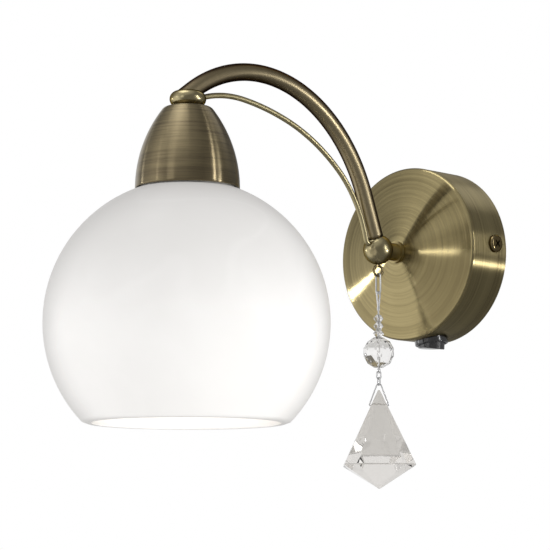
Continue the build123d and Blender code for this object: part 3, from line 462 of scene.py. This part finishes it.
# the glow values paint the bulb's light through the glass; darkAbove and fullBelow fade it to painted shade
# under the cup; the edge colour is painted shade at grazing angles
opalLook = {"milk": "D8D6D4", "vein": "DCDAD8", "cool": "D3D1CE", "edge": "BFBDBB", "glow": "FFFFFF",
            "rimBlend": 0.5, "veinSize": 11.0, "veinWarp": 0.06, "cloudShare": 0.5, "veinShare": 0.3,
            "paintedEdgeShare": 0.4, "paintedEdgeFrom": (0.35, 0.9), "darkAbove": 20 * mm, "fullBelow": -75 * mm,
            "leastGlow": 0.1, "rimFrom": (0.45, 0.95), "rimGlow": 0.35, "cloudGlow": 0.94, "veinGlow": 0.008,
            "strength": 0.38, "shine": 0.25, "rough": (0.42, 0.5), "smudgeSize": 60.0,
            "rippleSize": 30.0, "rippleBump": 0.08, "rippleDepth": 0.6 * mm}


def opalGlass(name):
    # milk glass with alabaster veins and a painted glow in place of the bulb's light through it: brightest
    # low down, greyer with painted shade under the cup
    v = opalLook
    material, tree, shader = newMaterial(name)
    place = objectCoords(tree, (0, lampAxis, 0))
    veins = useGroup(tree, swirl, Vector=place, Size=v["veinSize"], Warp=v["veinWarp"])
    cloud = calc(tree, "MULTIPLY", veins["Cloud"], v["cloudShare"])
    vein = calc(tree, "MULTIPLY", veins["Vein"], v["veinShare"])
    milk = mixColour(tree, cloud, colour(v["milk"]), colour(v["cool"]))
    milk = mixColour(tree, vein, milk, colour(v["vein"]))
    facing = addNode(tree, "LayerWeight", None, Blend=v["rimBlend"]).outputs["Facing"]
    # painted shade: the glass turns greyer towards its outline, at grazing angles
    edge = remap(tree, facing, *v["paintedEdgeFrom"], 0.0, v["paintedEdgeShare"], smooth=True)
    milk = mixColour(tree, edge, milk, colour(v["edge"]))
    feed(tree, shader.inputs["Base Color"], milk)
    # painted glow: full low down, painted shade under the cup, dimmer at grazing angles, a little uneven with
    # clouds and veins
    height = addNode(tree, "SeparateXYZ", None, Vector=place).outputs[2]
    paintedGlow = remap(tree, height, v["darkAbove"], v["fullBelow"], v["leastGlow"], 1.0, smooth=True)
    paintedGlow = calc(tree, "MULTIPLY", paintedGlow, remap(tree, facing, *v["rimFrom"], 1.0, v["rimGlow"], smooth=True))
    paintedGlow = calc(tree, "MULTIPLY", paintedGlow, remap(tree, veins["Cloud"], 0.0, 1.0, 1.0, v["cloudGlow"]))
    paintedGlow = calc(tree, "ADD", paintedGlow, calc(tree, "MULTIPLY", veins["Vein"], v["veinGlow"]))
    feed(tree, shader.inputs["Emission Color"], mixColour(tree, paintedGlow, (0, 0, 0, 1), colour(v["glow"])))
    shader.inputs["Emission Strength"].default_value = v["strength"]
    material.cycles.emission_sampling = "NONE"  # a wide soft glow: found by bounces alone, with less noise
    shader.inputs["Specular IOR Level"].default_value = v["shine"]
    low, high = v["rough"]
    gloss = useGroup(tree, handling, Vector=place, Low=low, High=high, Size=v["smudgeSize"])
    feed(tree, shader.inputs["Roughness"], gloss["Roughness"])
    ripple = noise(tree, place, v["rippleSize"], 2.0)
    feed(tree, shader.inputs["Normal"], bump(tree, ripple, v["rippleBump"], v["rippleDepth"]))
    return material


bulbLook = {"middle": -45 * mm, "cloudSize": 60.0, "pale": "FFF8EC", "cream": "F1E6D2", "rough": (0.32, 0.45),
            "near": 20 * mm, "far": 50 * mm, "nearGlow": "FFFFFF", "farGlow": "FFFAF0", "strength": 1.3}


def frostedLamp(name):
    # frosted bulb that glows, white round its middle and warmer away from it
    v = bulbLook
    material, tree, shader = newMaterial(name)
    place = objectCoords(tree, (0, lampAxis, v["middle"]))
    cloud = noise(tree, place, v["cloudSize"], 3.0)
    feed(tree, shader.inputs["Base Color"], mixColour(tree, cloud, colour(v["pale"]), colour(v["cream"])))
    feed(tree, shader.inputs["Roughness"], remap(tree, cloud, *noiseSpan, *v["rough"]))
    away = remap(tree, vecCalc(tree, "LENGTH", place), v["near"], v["far"])
    glow = mixColour(tree, away, colour(v["nearGlow"]), colour(v["farGlow"]))
    feed(tree, shader.inputs["Emission Color"], glow)
    shader.inputs["Emission Strength"].default_value = v["strength"]
    material.cycles.emission_sampling = "NONE"
    return material


# rows that turn the way from the axis into the way round it: about Y for the canopy, about Z for the cup
canopyRows = ((0, 0, 1), (0, 0, 0), (-1, 0, 0))
cupRows = ((0, -1, 0), (1, 0, 0), (0, 0, 0))
lampCentre = (0, lampAxis, 0)
# the wire's rim colour is painted shade for grazing angles
wireBrass = {"shade": "6B6145", "body": "ADA27D", "glow": "BBB18D", "rim": "5A513A"}
finishes = {
    "polishedBrass": polishedBrass("antiqueBrassPolished", ballBrass, roughLow=0.22, roughHigh=0.3),
    # the arm's edge range starts the painted rim shade nearer the tube's middle, a wider dark edge
    "armBrass": polishedBrass("antiqueBrassArm", darkBrass, roughLow=0.35, roughHigh=0.39,
                              cloudShare=0.2, edge=(0.12, 0.50)),
    "neckBrass": polishedBrass("antiqueBrassNeck", antiqueBrass, roughLow=0.3, roughHigh=0.4),
    "bronze": polishedBrass("darkBronze", bronze),
    "canopyBrass": brushedBrass("antiqueBrassCanopy", antiqueBrass, (0, 0, 0), (math.pi / 2, 0, 0),
                                canopyRows, fine=1900.0, sweep=0.6, rough=(0.26, 0.31),
                                frontRough=(0.14, 0.21)),
    "cupBrass": brushedBrass("antiqueBrassCup", cupTint, lampCentre, (0, 0, 0),
                             cupRows, fine=1500.0, sweep=0.7, rough=(0.26, 0.34), streakShare=0.9),
    "lightBrass": polishedBrass("lightBrassWire", wireBrass, roughLow=0.36, roughHigh=0.44),
    "zinc": plainMetal("zincPlatedSteel", "B9BABB", "8E9092", 0.22, 0.4),
    "steelThread": plainMetal("steelThreadAcross", "B4B4B2", "85868A", 0.22, 0.38, pitch=1.0 * mm,
                              turn=(math.pi / 2, 0, 0)),
    "lampThread": plainMetal("steelThreadUpright", "B4B4B2", "85868A", 0.22, 0.38, pitch=1.0 * mm,
                             centre=lampCentre),
    "contactBrass": plainMetal("contactBrass", "D0AE62", "93763A", 0.15, 0.3),
    "shellBrass": plainMetal("holderShellBrass", "D0AE62", "93763A", 0.15, 0.3, pitch=3.6 * mm,
                             centre=lampCentre),
    "lampCap": plainMetal("bulbCapAluminium", "C9CACC", "97999C", 0.2, 0.34, pitch=3.6 * mm,
                          centre=lampCentre),
    "silver": plainMetal("silverWire", "E4E4E5", "A9AAAC", 0.12, 0.24, size=900.0, metallic=0.7),
    "blackGloss": plastic("blackSwitchPlastic", "232325", "2D2D2F", 0.12, 0.24, coat=0.8, grain=0.01 * mm),
    "holderWhite": plastic("holderPlastic", "EFEDE6", "E2DFD6", 0.28, 0.42),
    "blockNylon": plastic("terminalNylon", "E9E7DF", "D6D3C8", 0.4, 0.55),
    "brown": insulation("brownInsulation", "5B3320", "47281A"),
    "blue": insulation("blueInsulation", "2C5E9E", "234E86"),
    "earth": insulation("earthInsulation", "6FA22C", "5F9026", "D9C62E"),
    "crystal": crystalGlass("cutCrystal", "E7E4E0", "DFDCD8"),
    "beadCrystal": crystalGlass("cutBeadCrystal", "F6F5F4", "EEEDEB"),
    "opal": opalGlass("opalAlabasterGlass"),
    "lamp": frostedLamp("frostedBulb"),
}
print("finishes built:", len(finishes))


# shapes
meshJoin = {"merge": 1e-7, "flat": 1e-8, "point": 1e-9}  # metres: doubles, lost edges, a wire's closed end


def meshFromGrid(name, grid, closedRows=False):
    # quads between neighbours of a grid of points: each row closes on itself, the last may join the first
    rows, columns = grid.shape[:2]
    r, c = np.meshgrid(np.arange(rows if closedRows else rows - 1), np.arange(columns), indexing="ij")
    after, beside = (r + 1) % rows, (c + 1) % columns
    quad = (r * columns + c, r * columns + beside, after * columns + beside, after * columns + c)
    faces = np.stack(quad, -1).reshape(-1, 4)
    mesh = bpy.data.meshes.new(name)
    mesh.from_pydata(grid.reshape(-1, 3).tolist(), [], faces.tolist())
    return finishMesh(name, mesh)


def finishMesh(name, mesh):
    # joins doubled points, which closes the poles, and turns the faces outwards
    work = bmesh.new()
    work.from_mesh(mesh)
    bmesh.ops.remove_doubles(work, verts=work.verts, dist=meshJoin["merge"])
    bmesh.ops.dissolve_degenerate(work, edges=work.edges, dist=meshJoin["flat"])
    if work.calc_volume(signed=True) < 0:
        bmesh.ops.reverse_faces(work, faces=work.faces)
    work.to_mesh(mesh)
    work.free()
    mesh.polygons.foreach_set("use_smooth", np.ones(len(mesh.polygons), bool))
    piece = bpy.data.objects.new(name, mesh)
    bpy.context.scene.collection.objects.link(piece)
    return piece


def roundedProfile(corners, steps):
    # closed outline through corners (radius, height, rounding): each rounding is an arc tangent to both
    # sides, whose centre lies rounding / sin(half the corner's angle) along the corner's bisector
    points = []
    count = len(corners)
    for k, (x, y, rounding) in enumerate(corners):
        here = np.array([x, y])
        before = np.array(corners[k - 1][:2]) - here
        after = np.array(corners[(k + 1) % count][:2]) - here
        before, after = before / np.linalg.norm(before), after / np.linalg.norm(after)
        if rounding <= 0:
            points.append(here[None])
            continue
        half = math.acos(np.clip(np.dot(before, after), -1, 1)) / 2
        centre = here + (before + after) / np.linalg.norm(before + after) * rounding / math.sin(half)
        first = here + before * rounding / math.tan(half) - centre
        last = here + after * rounding / math.tan(half) - centre
        share = np.linspace(0, 1, steps + 1)[:, None]
        arc = first * (1 - share) + last * share
        points.append(centre + arc / np.linalg.norm(arc, axis=1)[:, None] * rounding)
    return np.concatenate(points)


def subdivided(profile, longest):
    # extra points on a closed outline's long straight sides, so that shading stays even
    pieces = []
    for start, end in zip(profile, np.roll(profile, -1, axis=0)):
        count = max(1, math.ceil(np.linalg.norm(end - start) / longest))
        pieces.append(start + (end - start) * np.linspace(0, 1, count, endpoint=False)[:, None])
    return np.concatenate(pieces)


def turned(name, profile, centre, axis, around, closedProfile=True):
    # each profile point (radius, height) goes round the axis in equal steps
    angle = np.linspace(0, 2 * np.pi, around, endpoint=False)
    radius, height = profile[:, 0:1], profile[:, 1:2]
    a, b, h = radius * np.cos(angle), radius * np.sin(angle), height * np.ones_like(angle)
    grid = np.stack([a, b, h], -1) if axis == "Z" else np.stack([a, h, b], -1)
    return meshFromGrid(name, grid + np.array(centre), closedRows=closedProfile)


def arcPoints(centre, radius, start, end, steps):
    # centre plus radius times (cosine, sine) of angles in degrees
    angle = np.radians(np.linspace(start, end, steps))
    return np.array(centre) + radius * np.stack([np.cos(angle), np.sin(angle)], -1)


def unit(angle):
    return np.array([math.cos(math.radians(angle)), math.sin(math.radians(angle))])


pointGap = 0.001 * mm  # closer points count as one


def joined(*runs):
    # one line through all runs, each point once
    line = np.concatenate(runs)
    keep = np.r_[True, np.linalg.norm(np.diff(line, axis=0), axis=1) > pointGap]
    return line[keep]


def wireInPlane(name, line, radius, sides, wall=None):
    # a round section carried along a line of (distance out, height) in the plane X = 0: radius times cosine
    # across the line and times sine along X; solid with closed ends, or a tube with a wall
    slope = np.gradient(line, axis=0)
    slope /= np.linalg.norm(slope, axis=1)[:, None]
    across = np.stack([-slope[:, 1], slope[:, 0]], -1)
    angle = np.linspace(0, 2 * np.pi, sides, endpoint=False)
    reach = np.full(len(line), radius)

    def rings(at, width, lift):
        flat = at[:, None, :] + lift[:, None, :] * (width[:, None] * np.cos(angle))[..., None]
        side = width[:, None] * np.sin(angle)
        return np.stack([side, -flat[..., 0], flat[..., 1]], -1)

    outer = rings(line, reach, across)
    if wall:
        inner = rings(line[::-1], reach - wall, across[::-1])
        return meshFromGrid(name, np.concatenate([outer, inner]), closedRows=True)
    point = np.array([meshJoin["point"]])  # a ring so small that finishMesh joins it into one point
    head, tail = rings(line[:1], point, across[:1]), rings(line[-1:], point, across[-1:])
    return meshFromGrid(name, np.concatenate([head, outer, tail]))


def dress(piece, finish, *standsFor):
    # one finish; a new piece takes the place of its CAD nodes and moves with their body
    piece.data.materials.clear()
    piece.data.materials.append(finishes[finish])
    if standsFor:
        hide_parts(*standsFor)
        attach(piece, bodyOf[standsFor[0]])
    return piece


# canopy: spun dish with a shallow cone front
canopyShape = {"radius": 50 * mm, "depth": 29.5 * mm, "apex": 38.5 * mm, "wall": 1.0 * mm,
               "edge": 2.0 * mm, "land": 7.0 * mm, "hole": 4.3 * mm, "backEdge": 0.2 * mm,
               "landEdge": 6 * mm, "landInside": 2 * mm, "longest": 3 * mm, "around": 200,
               "roundSteps": 10}


def buildCanopy():
    # outline turned round Y: back edge, side, cone, flat land round the neck's hole, then the inside
    v = canopyShape
    slope = (v["apex"] - v["depth"]) / (v["radius"] - v["land"])
    inner = v["radius"] - v["wall"]
    innerRim = v["depth"] + v["wall"] * slope - v["wall"]
    corners = [(v["radius"], 0, v["backEdge"]), (v["radius"], -v["depth"], v["edge"]),
               (v["land"], -v["apex"], v["landEdge"]), (v["hole"], -v["apex"], 0),
               (v["hole"], -v["apex"] + v["wall"], 0),
               (v["land"], -v["apex"] + v["wall"], v["landInside"]),
               (inner, -innerRim, v["edge"] - v["wall"]), (inner, 0, v["backEdge"])]
    profile = subdivided(roundedProfile(corners, v["roundSteps"]), v["longest"])
    dish = turned("canopyDish", profile, (0, 0, 0), "Y", v["around"])
    return dress(dish, "canopyBrass", "canopy")


buildCanopy()
print("canopy built")


# arm, accent wire, ball and collar
armShape = {"out": 53.974 * mm, "rise": 32.5 * mm, "startAngle": 68.5, "bend": 90 * mm, "endAngle": 36.0,
            "last": 3.5 * mm, "radius": 4.8 * mm, "wall": 1.0 * mm, "intoCollar": 7.2 * mm,
            "fromBall": 7.0 * mm, "sides": 56, "riseSteps": 12, "bendSteps": 90, "lastSteps": 6}
ballShape = {"radius": 8.5 * mm, "rows": 60, "around": 96}
collarShape = {"radius": 9.7 * mm, "height": 8.6 * mm, "belowArm": 2.9 * mm, "rows": 30, "around": 120}
accentShape = {"radius": 1.5 * mm, "seatAngle": 18.0, "hook": 3.5 * mm, "leave": 76.0, "drop": 20 * mm,
               "middle": 17.0, "arrive": 20.0, "seatRise": 1.6 * mm, "sides": 28, "hookSteps": 14,
               "arcSteps": 30}


def armPath():
    # straight rise from the ball's centre, one bend, a short straight end; gives the foot, the bend's start
    # and centre, the bend and the end
    v = armShape
    foot = np.array([v["out"], 0.0])
    start = foot + unit(v["startAngle"]) * v["rise"]
    centre = start + unit(v["startAngle"] - 90) * v["bend"]
    bend = arcPoints(centre, v["bend"], v["startAngle"] + 90, 90 - v["endAngle"], v["bendSteps"])
    end = bend[-1] + unit(-v["endAngle"]) * v["last"]
    return foot, start, centre, bend, end


def buildArm():
    v = armShape
    foot, start, _, bend, end = armPath()
    rise = np.linspace(foot + unit(v["startAngle"]) * v["fromBall"], start, v["riseSteps"])
    last = np.linspace(bend[-1], end + unit(-v["endAngle"]) * v["intoCollar"], v["lastSteps"])
    tube = wireInPlane("armTube", joined(rise, bend, last), v["radius"], v["sides"], v["wall"])
    return dress(tube, "armBrass", "arm_tube")


def twoArcs(start, startAngle, end, endAngle, steps):
    # two arcs that share a tangent: both control points lie the same reach along the end directions, and
    # the arcs meet halfway between them
    first, last = unit(startAngle), unit(endAngle)
    chord, both = end - start, first + last
    room = 2 * (1 - first @ last)
    reach = (-(chord @ both) + math.sqrt((chord @ both) ** 2 + room * (chord @ chord))) / room
    near, far = start + first * reach, end - last * reach
    middle = (near + far) / 2
    shared = (far - near) / np.linalg.norm(far - near)
    return joined(arcFrom(start, first, middle, steps), arcFrom(middle, shared, end, steps))


def arcFrom(start, direction, end, steps):
    # the arc that leaves along a direction: its centre lies on the normal there, equally far from both ends
    normal = np.array([-direction[1], direction[0]])
    chord = end - start
    radius = (chord @ chord) / (2 * (chord @ normal))
    sweep = 2 * math.atan2(chord @ normal, chord @ direction)
    angle = np.linspace(0, sweep, steps)
    return start + radius * (np.sin(angle)[:, None] * direction + (1 - np.cos(angle))[:, None] * normal)


def buildAccent():
    # out of the ball, round a small hook, then along the arm to the collar's side
    v = accentShape
    foot, _, centre, _, end = armPath()
    seat = foot + unit(v["seatAngle"]) * (ballShape["radius"] - v["radius"])
    hook = seat + unit(v["seatAngle"]) * v["radius"]
    pivot = hook + unit(v["seatAngle"] + 90) * v["hook"]
    turn = arcPoints(pivot, v["hook"], v["seatAngle"] - 90, v["leave"] - 90, v["hookSteps"])
    middle = centre + unit(90 + v["middle"]) * (armShape["bend"] - v["drop"])
    collarEnd = np.array([end[0] - collarShape["radius"] + v["radius"],
                          end[1] - collarShape["belowArm"] + v["seatRise"]])
    line = joined(np.stack([seat, hook]), turn,
                  twoArcs(turn[-1], v["leave"], middle, v["middle"], v["arcSteps"]),
                  twoArcs(middle, v["middle"], collarEnd, -v["arrive"], v["arcSteps"]))
    wire = wireInPlane("accentWire", line, v["radius"], v["sides"])
    return dress(wire, "lightBrass", "accent_wire")


def buildBall():
    # half circle turned round Z, with both ends exactly on the axis
    v = ballShape
    profile = arcPoints((0, 0), v["radius"], -90, 90, v["rows"])
    profile[[0, -1], 0] = 0
    ball = turned("knuckleBall", profile, (0, -armShape["out"], 0), "Z", v["around"], False)
    return dress(ball, "polishedBrass", "knuckle_ball")


def buildCollar():
    # a ring whose side is a half circle, as high as the ring
    v = collarShape
    end = armPath()[-1]
    half = v["height"] / 2
    side = arcPoints((v["radius"] - half, 0), half, -90, 90, v["rows"])
    profile = np.concatenate([[[0, -half]], side, [[0, half]]])
    place = (0, -end[0], end[1] - v["belowArm"])
    collar = turned("armCollar", profile, place, "Z", v["around"], False)
    return dress(collar, "polishedBrass", "collar")


buildArm()
buildAccent()
buildBall()
buildCollar()
print("arm built")


# shade cup: one arc up its side, rounded shoulder
cupShape = {"mouth": 27.6 * mm, "height": 43.5 * mm, "arc": 70 * mm, "shoulder": 4 * mm, "wall": 0.9 * mm,
            "hole": 5.3 * mm, "lip": 0.1 * mm, "longest": 3 * mm, "around": 180, "sideSteps": 40,
            "shoulderSteps": 14}
globeShape = {"radius": 75 * mm, "wall": 3 * mm, "mouth": 53.5 * mm, "hole": 21 * mm, "land": 26 * mm,
              "lip": 0.1 * mm, "lipShare": 0.48, "lipFrom": 210, "lipTo": 300, "around": 220,
              "rows": 130, "lipRows": 9}


def cupSide(inset):
    # mouth to shoulder along the side's arc, then the shoulder's own arc to the flat top
    v = cupShape
    centre, radius, top = v["mouth"] - v["arc"], v["arc"] - inset, v["height"] - inset
    small = v["shoulder"] - inset
    height = top - small
    reach = math.sqrt((radius - small) ** 2 - height ** 2)
    shoulder = np.array([centre + reach, height])
    meet = math.degrees(math.atan2(height, reach))
    side = arcPoints((centre, 0), radius, 0, meet, v["sideSteps"])
    return joined(side, arcPoints(shoulder, small, meet, 90, v["shoulderSteps"]))


def buildCup():
    # outer side, hole in the top, inner side and a slightly rounded lip
    v = cupShape
    outer, inner = cupSide(0), cupSide(v["wall"])
    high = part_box("shade_cup")[1][2]
    top = [[v["hole"], v["height"]], [v["hole"], v["height"] - v["wall"]]]
    lip = [[v["mouth"] - v["wall"] / 2, -v["lip"]]]
    profile = subdivided(np.concatenate([outer, top, inner[::-1], lip]), v["longest"])
    cup = turned("shadeCup", profile, (0, lampAxis, high - v["height"]), "Z", v["around"])
    return dress(cup, "cupBrass", "shade_cup")


def buildGlobe():
    # outer sphere, rounded mouth, inner sphere and the ground land round the neck hole
    v = globeShape
    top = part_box("glass_shade")[1][2]
    middle = top - math.sqrt(v["radius"] ** 2 - v["land"] ** 2)
    inside = v["radius"] - v["wall"]
    mouthZ = -math.sqrt(v["radius"] ** 2 - v["mouth"] ** 2)
    landZ = top - middle
    outer = arcPoints((0, 0), v["radius"], math.degrees(math.atan2(mouthZ, v["mouth"])),
                      math.degrees(math.atan2(landZ, v["land"])), v["rows"])
    innerHigh = math.degrees(math.asin((landZ - v["wall"]) / inside))
    innerLow = math.degrees(math.asin(mouthZ / inside))
    inner = arcPoints((0, 0), inside, innerHigh, innerLow, v["rows"])
    lip = arcPoints((outer[0] + inner[-1]) / 2, v["wall"] * v["lipShare"], v["lipFrom"], v["lipTo"],
                    v["lipRows"])
    lip = np.clip(lip, [inner[-1][0], mouthZ - v["lip"]], None)
    neck = [[v["hole"], landZ], [v["hole"], landZ - v["wall"]]]
    profile = np.concatenate([outer[1:], neck, inner, lip[1:-1]])
    globe = turned("opalGlobe", profile, (0, lampAxis, middle), "Z", v["around"])
    return dress(globe, "opal", "glass_shade")


buildCup()
buildGlobe()
print("cup and globe built")


# cut stones: a merged copy of each solid, flat faces with narrow polished edges
stoneEdges = {"small_bead_1": 0.12 * mm, "small_bead_2": 0.12 * mm, "small_bead_3": 0.12 * mm,
              "large_bead": 0.16 * mm, "crystal_drop": 0.45 * mm}
stoneCut = {"merge": 0.002 * mm, "flat": 1.5, "sharp": 12, "segments": 2}  # angles in degrees


def buildStone(node, width):
    # doubles merged, triangles of one facet joined, and a bevel along each edge between facets
    v = stoneCut
    mesh = nodes[node].data.copy()
    mesh.materials.clear()
    work = bmesh.new()
    work.from_mesh(mesh)
    bmesh.ops.remove_doubles(work, verts=work.verts, dist=v["merge"])
    bmesh.ops.dissolve_limit(work, angle_limit=math.radians(v["flat"]), verts=work.verts, edges=work.edges)
    work.to_mesh(mesh)
    work.free()
    mesh.polygons.foreach_set("use_smooth", np.zeros(len(mesh.polygons), bool))
    stone = bpy.data.objects.new(node + "_cut", mesh)
    bpy.context.scene.collection.objects.link(stone)
    bevel = stone.modifiers.new("polishedEdges", "BEVEL")
    bevel.width = width
    bevel.segments = v["segments"]
    bevel.limit_method = "ANGLE"
    bevel.angle_limit = math.radians(v["sharp"])
    return dress(stone, "crystal" if node == "crystal_drop" else "beadCrystal", node)


for node, width in stoneEdges.items():
    buildStone(node, width)
print("stones built")


# pieces that keep their solid and take a finish
solidFinishes = {
    "wall_bracket": "zinc", "canopy_screws": "bronze", "earth_screw": "zinc", "earth_lug": "zinc",
    "terminal_block": "blockNylon", "terminal_sleeves": "contactBrass", "terminal_screws": "zinc",
    "block_screw": "zinc", "switch_body": "blackGloss", "switch_rocker": "blackGloss",
    "switch_blades": "contactBrass", "neck_spacer": "neckBrass", "knuckle_nipple": "steelThread",
    "lock_washer": "zinc", "hex_nut": "zinc", "holder_nipple": "lampThread", "lampholder_cap": "holderWhite",
    "lampholder_skirt": "holderWhite", "lampholder_core": "holderWhite", "centre_contact": "contactBrass",
    "threaded_shell": "shellBrass", "upper_shade_ring": "holderWhite", "lower_shade_ring": "holderWhite",
    "bulb_envelope": "lamp", "bulb_base": "lampCap", "bulb_tip": "contactBrass",
    "neutral_wire": "blue", "live_wire": "brown", "switch_feed_wire": "brown", "earth_wire": "earth",
    "pendant_eyelet": "bronze", "upper_link": "silver", "bead_pin": "silver",
    "lower_link_1": "silver", "lower_link_2": "silver", "drop_bail": "silver",
}
for node, finish in solidFinishes.items():
    dress(nodes[node], finish)
print("solids dressed:", len(solidFinishes))


# plain pale floor, white surroundings, soft lamps
studio = {"floorHeight": -0.42, "floorSize": 6.0, "floorTone": "F3F2F0", "floorSecond": "EFEEEB",
          "floorClouds": 3.0, "floorRough": 0.8, "floorGlow": 0.3, "skyStrength": 0.63,
          "lampAim": (0, -0.12, 0)}
# area lamps that look at one point: place, size in metres, power in watts
lamps = [
    {"name": "streakLamp", "at": (-0.52, -1.41, 0.175), "size": (0.04, 0.04), "power": 0.30},
    {"name": "wedgeLamp", "at": (-1.37, -0.70, -0.012), "size": (0.06, 0.06), "power": 1.1},
    {"name": "bandLamp", "at": (1.37, 0.62, -0.24), "size": (0.14, 0.08), "power": 5.2},
    {"name": "hotLamp", "at": (1.47, 0.26, 0.30), "size": (0.06, 0.60), "power": 3.6},
    {"name": "frontPanel", "at": (0.2, -1.48, 0.15), "size": (0.35, 0.5), "power": 0.9},
    {"name": "topPanel", "at": (-0.2, -0.6, 1.5), "size": (1.0, 0.8), "power": 7.0},
]
# what shiny surfaces see: an even base and soft glows, each (direction, cosine of the angle from it where the
# glow starts, cosine where it is full, how bright); a minus darkens
roomBase = 0.28
roomGlow = [((-0.60, -0.75, -0.30), 0.72, 0.96, 1.05), ((-0.92, -0.20, 0.25), 0.85, 0.98, 0.12),
            ((0.97, 0.22, 0.10), 0.92, 0.99, 0.20), ((0.0, -0.5, 0.86), 0.50, 0.95, 0.50),
            ((-0.92, 0.38, 0.0), 0.80, 0.97, 0.60), ((-0.46, -0.82, 0.35), 0.92, 0.99, 0.30),
            ((0.07, 0.72, 0.70), 0.96, 0.995, 1.0), ((0.10, 0.75, -0.65), 0.40, 0.90, -0.06)]


def buildFloor():
    half, z = studio["floorSize"] / 2, studio["floorHeight"]
    mesh = bpy.data.meshes.new("floor")
    corners = [(-half, -half, z), (half, -half, z), (half, half, z), (-half, half, z)]
    mesh.from_pydata(corners, [], [(0, 1, 2, 3)])
    floor = bpy.data.objects.new("floor", mesh)
    bpy.context.scene.collection.objects.link(floor)
    material, tree, shader = newMaterial("paleFloor")
    tone = noise(tree, objectCoords(tree), studio["floorClouds"])
    pale = mixColour(tree, tone, colour(studio["floorTone"]), colour(studio["floorSecond"]))
    feed(tree, shader.inputs["Base Color"], pale)
    shader.inputs["Roughness"].default_value = studio["floorRough"]
    seenFloor = addNode(tree, "LightPath").outputs["Is Camera Ray"]
    feed(tree, shader.inputs["Emission Color"], colour(studio["floorTone"]))
    feed(tree, shader.inputs["Emission Strength"], calc(tree, "MULTIPLY", seenFloor, studio["floorGlow"]))
    # clear from below, so that the underside of the light can be looked at through it
    below = addNode(tree, "NewGeometry").outputs["Backfacing"]
    blend = addNode(tree, "MixShader")
    feed(tree, blend.inputs[0], below)
    tree.links.new(shader.outputs[0], blend.inputs[1])
    tree.links.new(addNode(tree, "BsdfTransparent").outputs[0], blend.inputs[2])
    output = next(node for node in tree.nodes if node.type == "OUTPUT_MATERIAL")
    tree.links.new(blend.outputs[0], output.inputs["Surface"])
    floor.data.materials.append(material)
    floor.visible_glossy = False


def buildRoom():
    # the camera and glass see plain white, matt surfaces an even sky, shiny ones a dim room with soft glows
    world = bpy.data.worlds.new("whiteRoom")
    bpy.context.scene.world = world
    world.use_nodes = True
    tree = world.node_tree
    background = tree.nodes["Background"]
    rays = addNode(tree, "LightPath").outputs
    seen = calc(tree, "MAXIMUM", rays["Is Camera Ray"], rays["Is Transmission Ray"])
    way = addNode(tree, "TexCoord").outputs["Generated"]
    room = roomBase
    for direction, start, full, share in roomGlow:
        facing = vecCalc(tree, "DOT_PRODUCT", way, Vector(direction).normalized())
        room = calc(tree, "ADD", room, remap(tree, facing, start, full, 0.0, share, smooth=True))
    matt = calc(tree, "SUBTRACT", 1.0, rays["Is Glossy Ray"])
    strength = calc(tree, "ADD", calc(tree, "MULTIPLY", rays["Is Glossy Ray"], room),
                    calc(tree, "MULTIPLY", matt, studio["skyStrength"]))
    strength = calc(tree, "MAXIMUM", strength, seen)
    feed(tree, background.inputs["Color"], (1, 1, 1, 1))
    feed(tree, background.inputs["Strength"], strength)


def buildLamps():
    for lamp in lamps:
        data = bpy.data.lights.new(lamp["name"], "AREA")
        data.shape = "RECTANGLE"
        data.size, data.size_y = lamp["size"]
        data.energy = lamp["power"]
        light = bpy.data.objects.new(lamp["name"], data)
        bpy.context.scene.collection.objects.link(light)
        light.location = lamp["at"]
        way = Vector(studio["lampAim"]) - light.location
        light.rotation_euler = way.to_track_quat("-Z", "Y").to_euler()


buildFloor()
buildRoom()
buildLamps()
print("studio built")
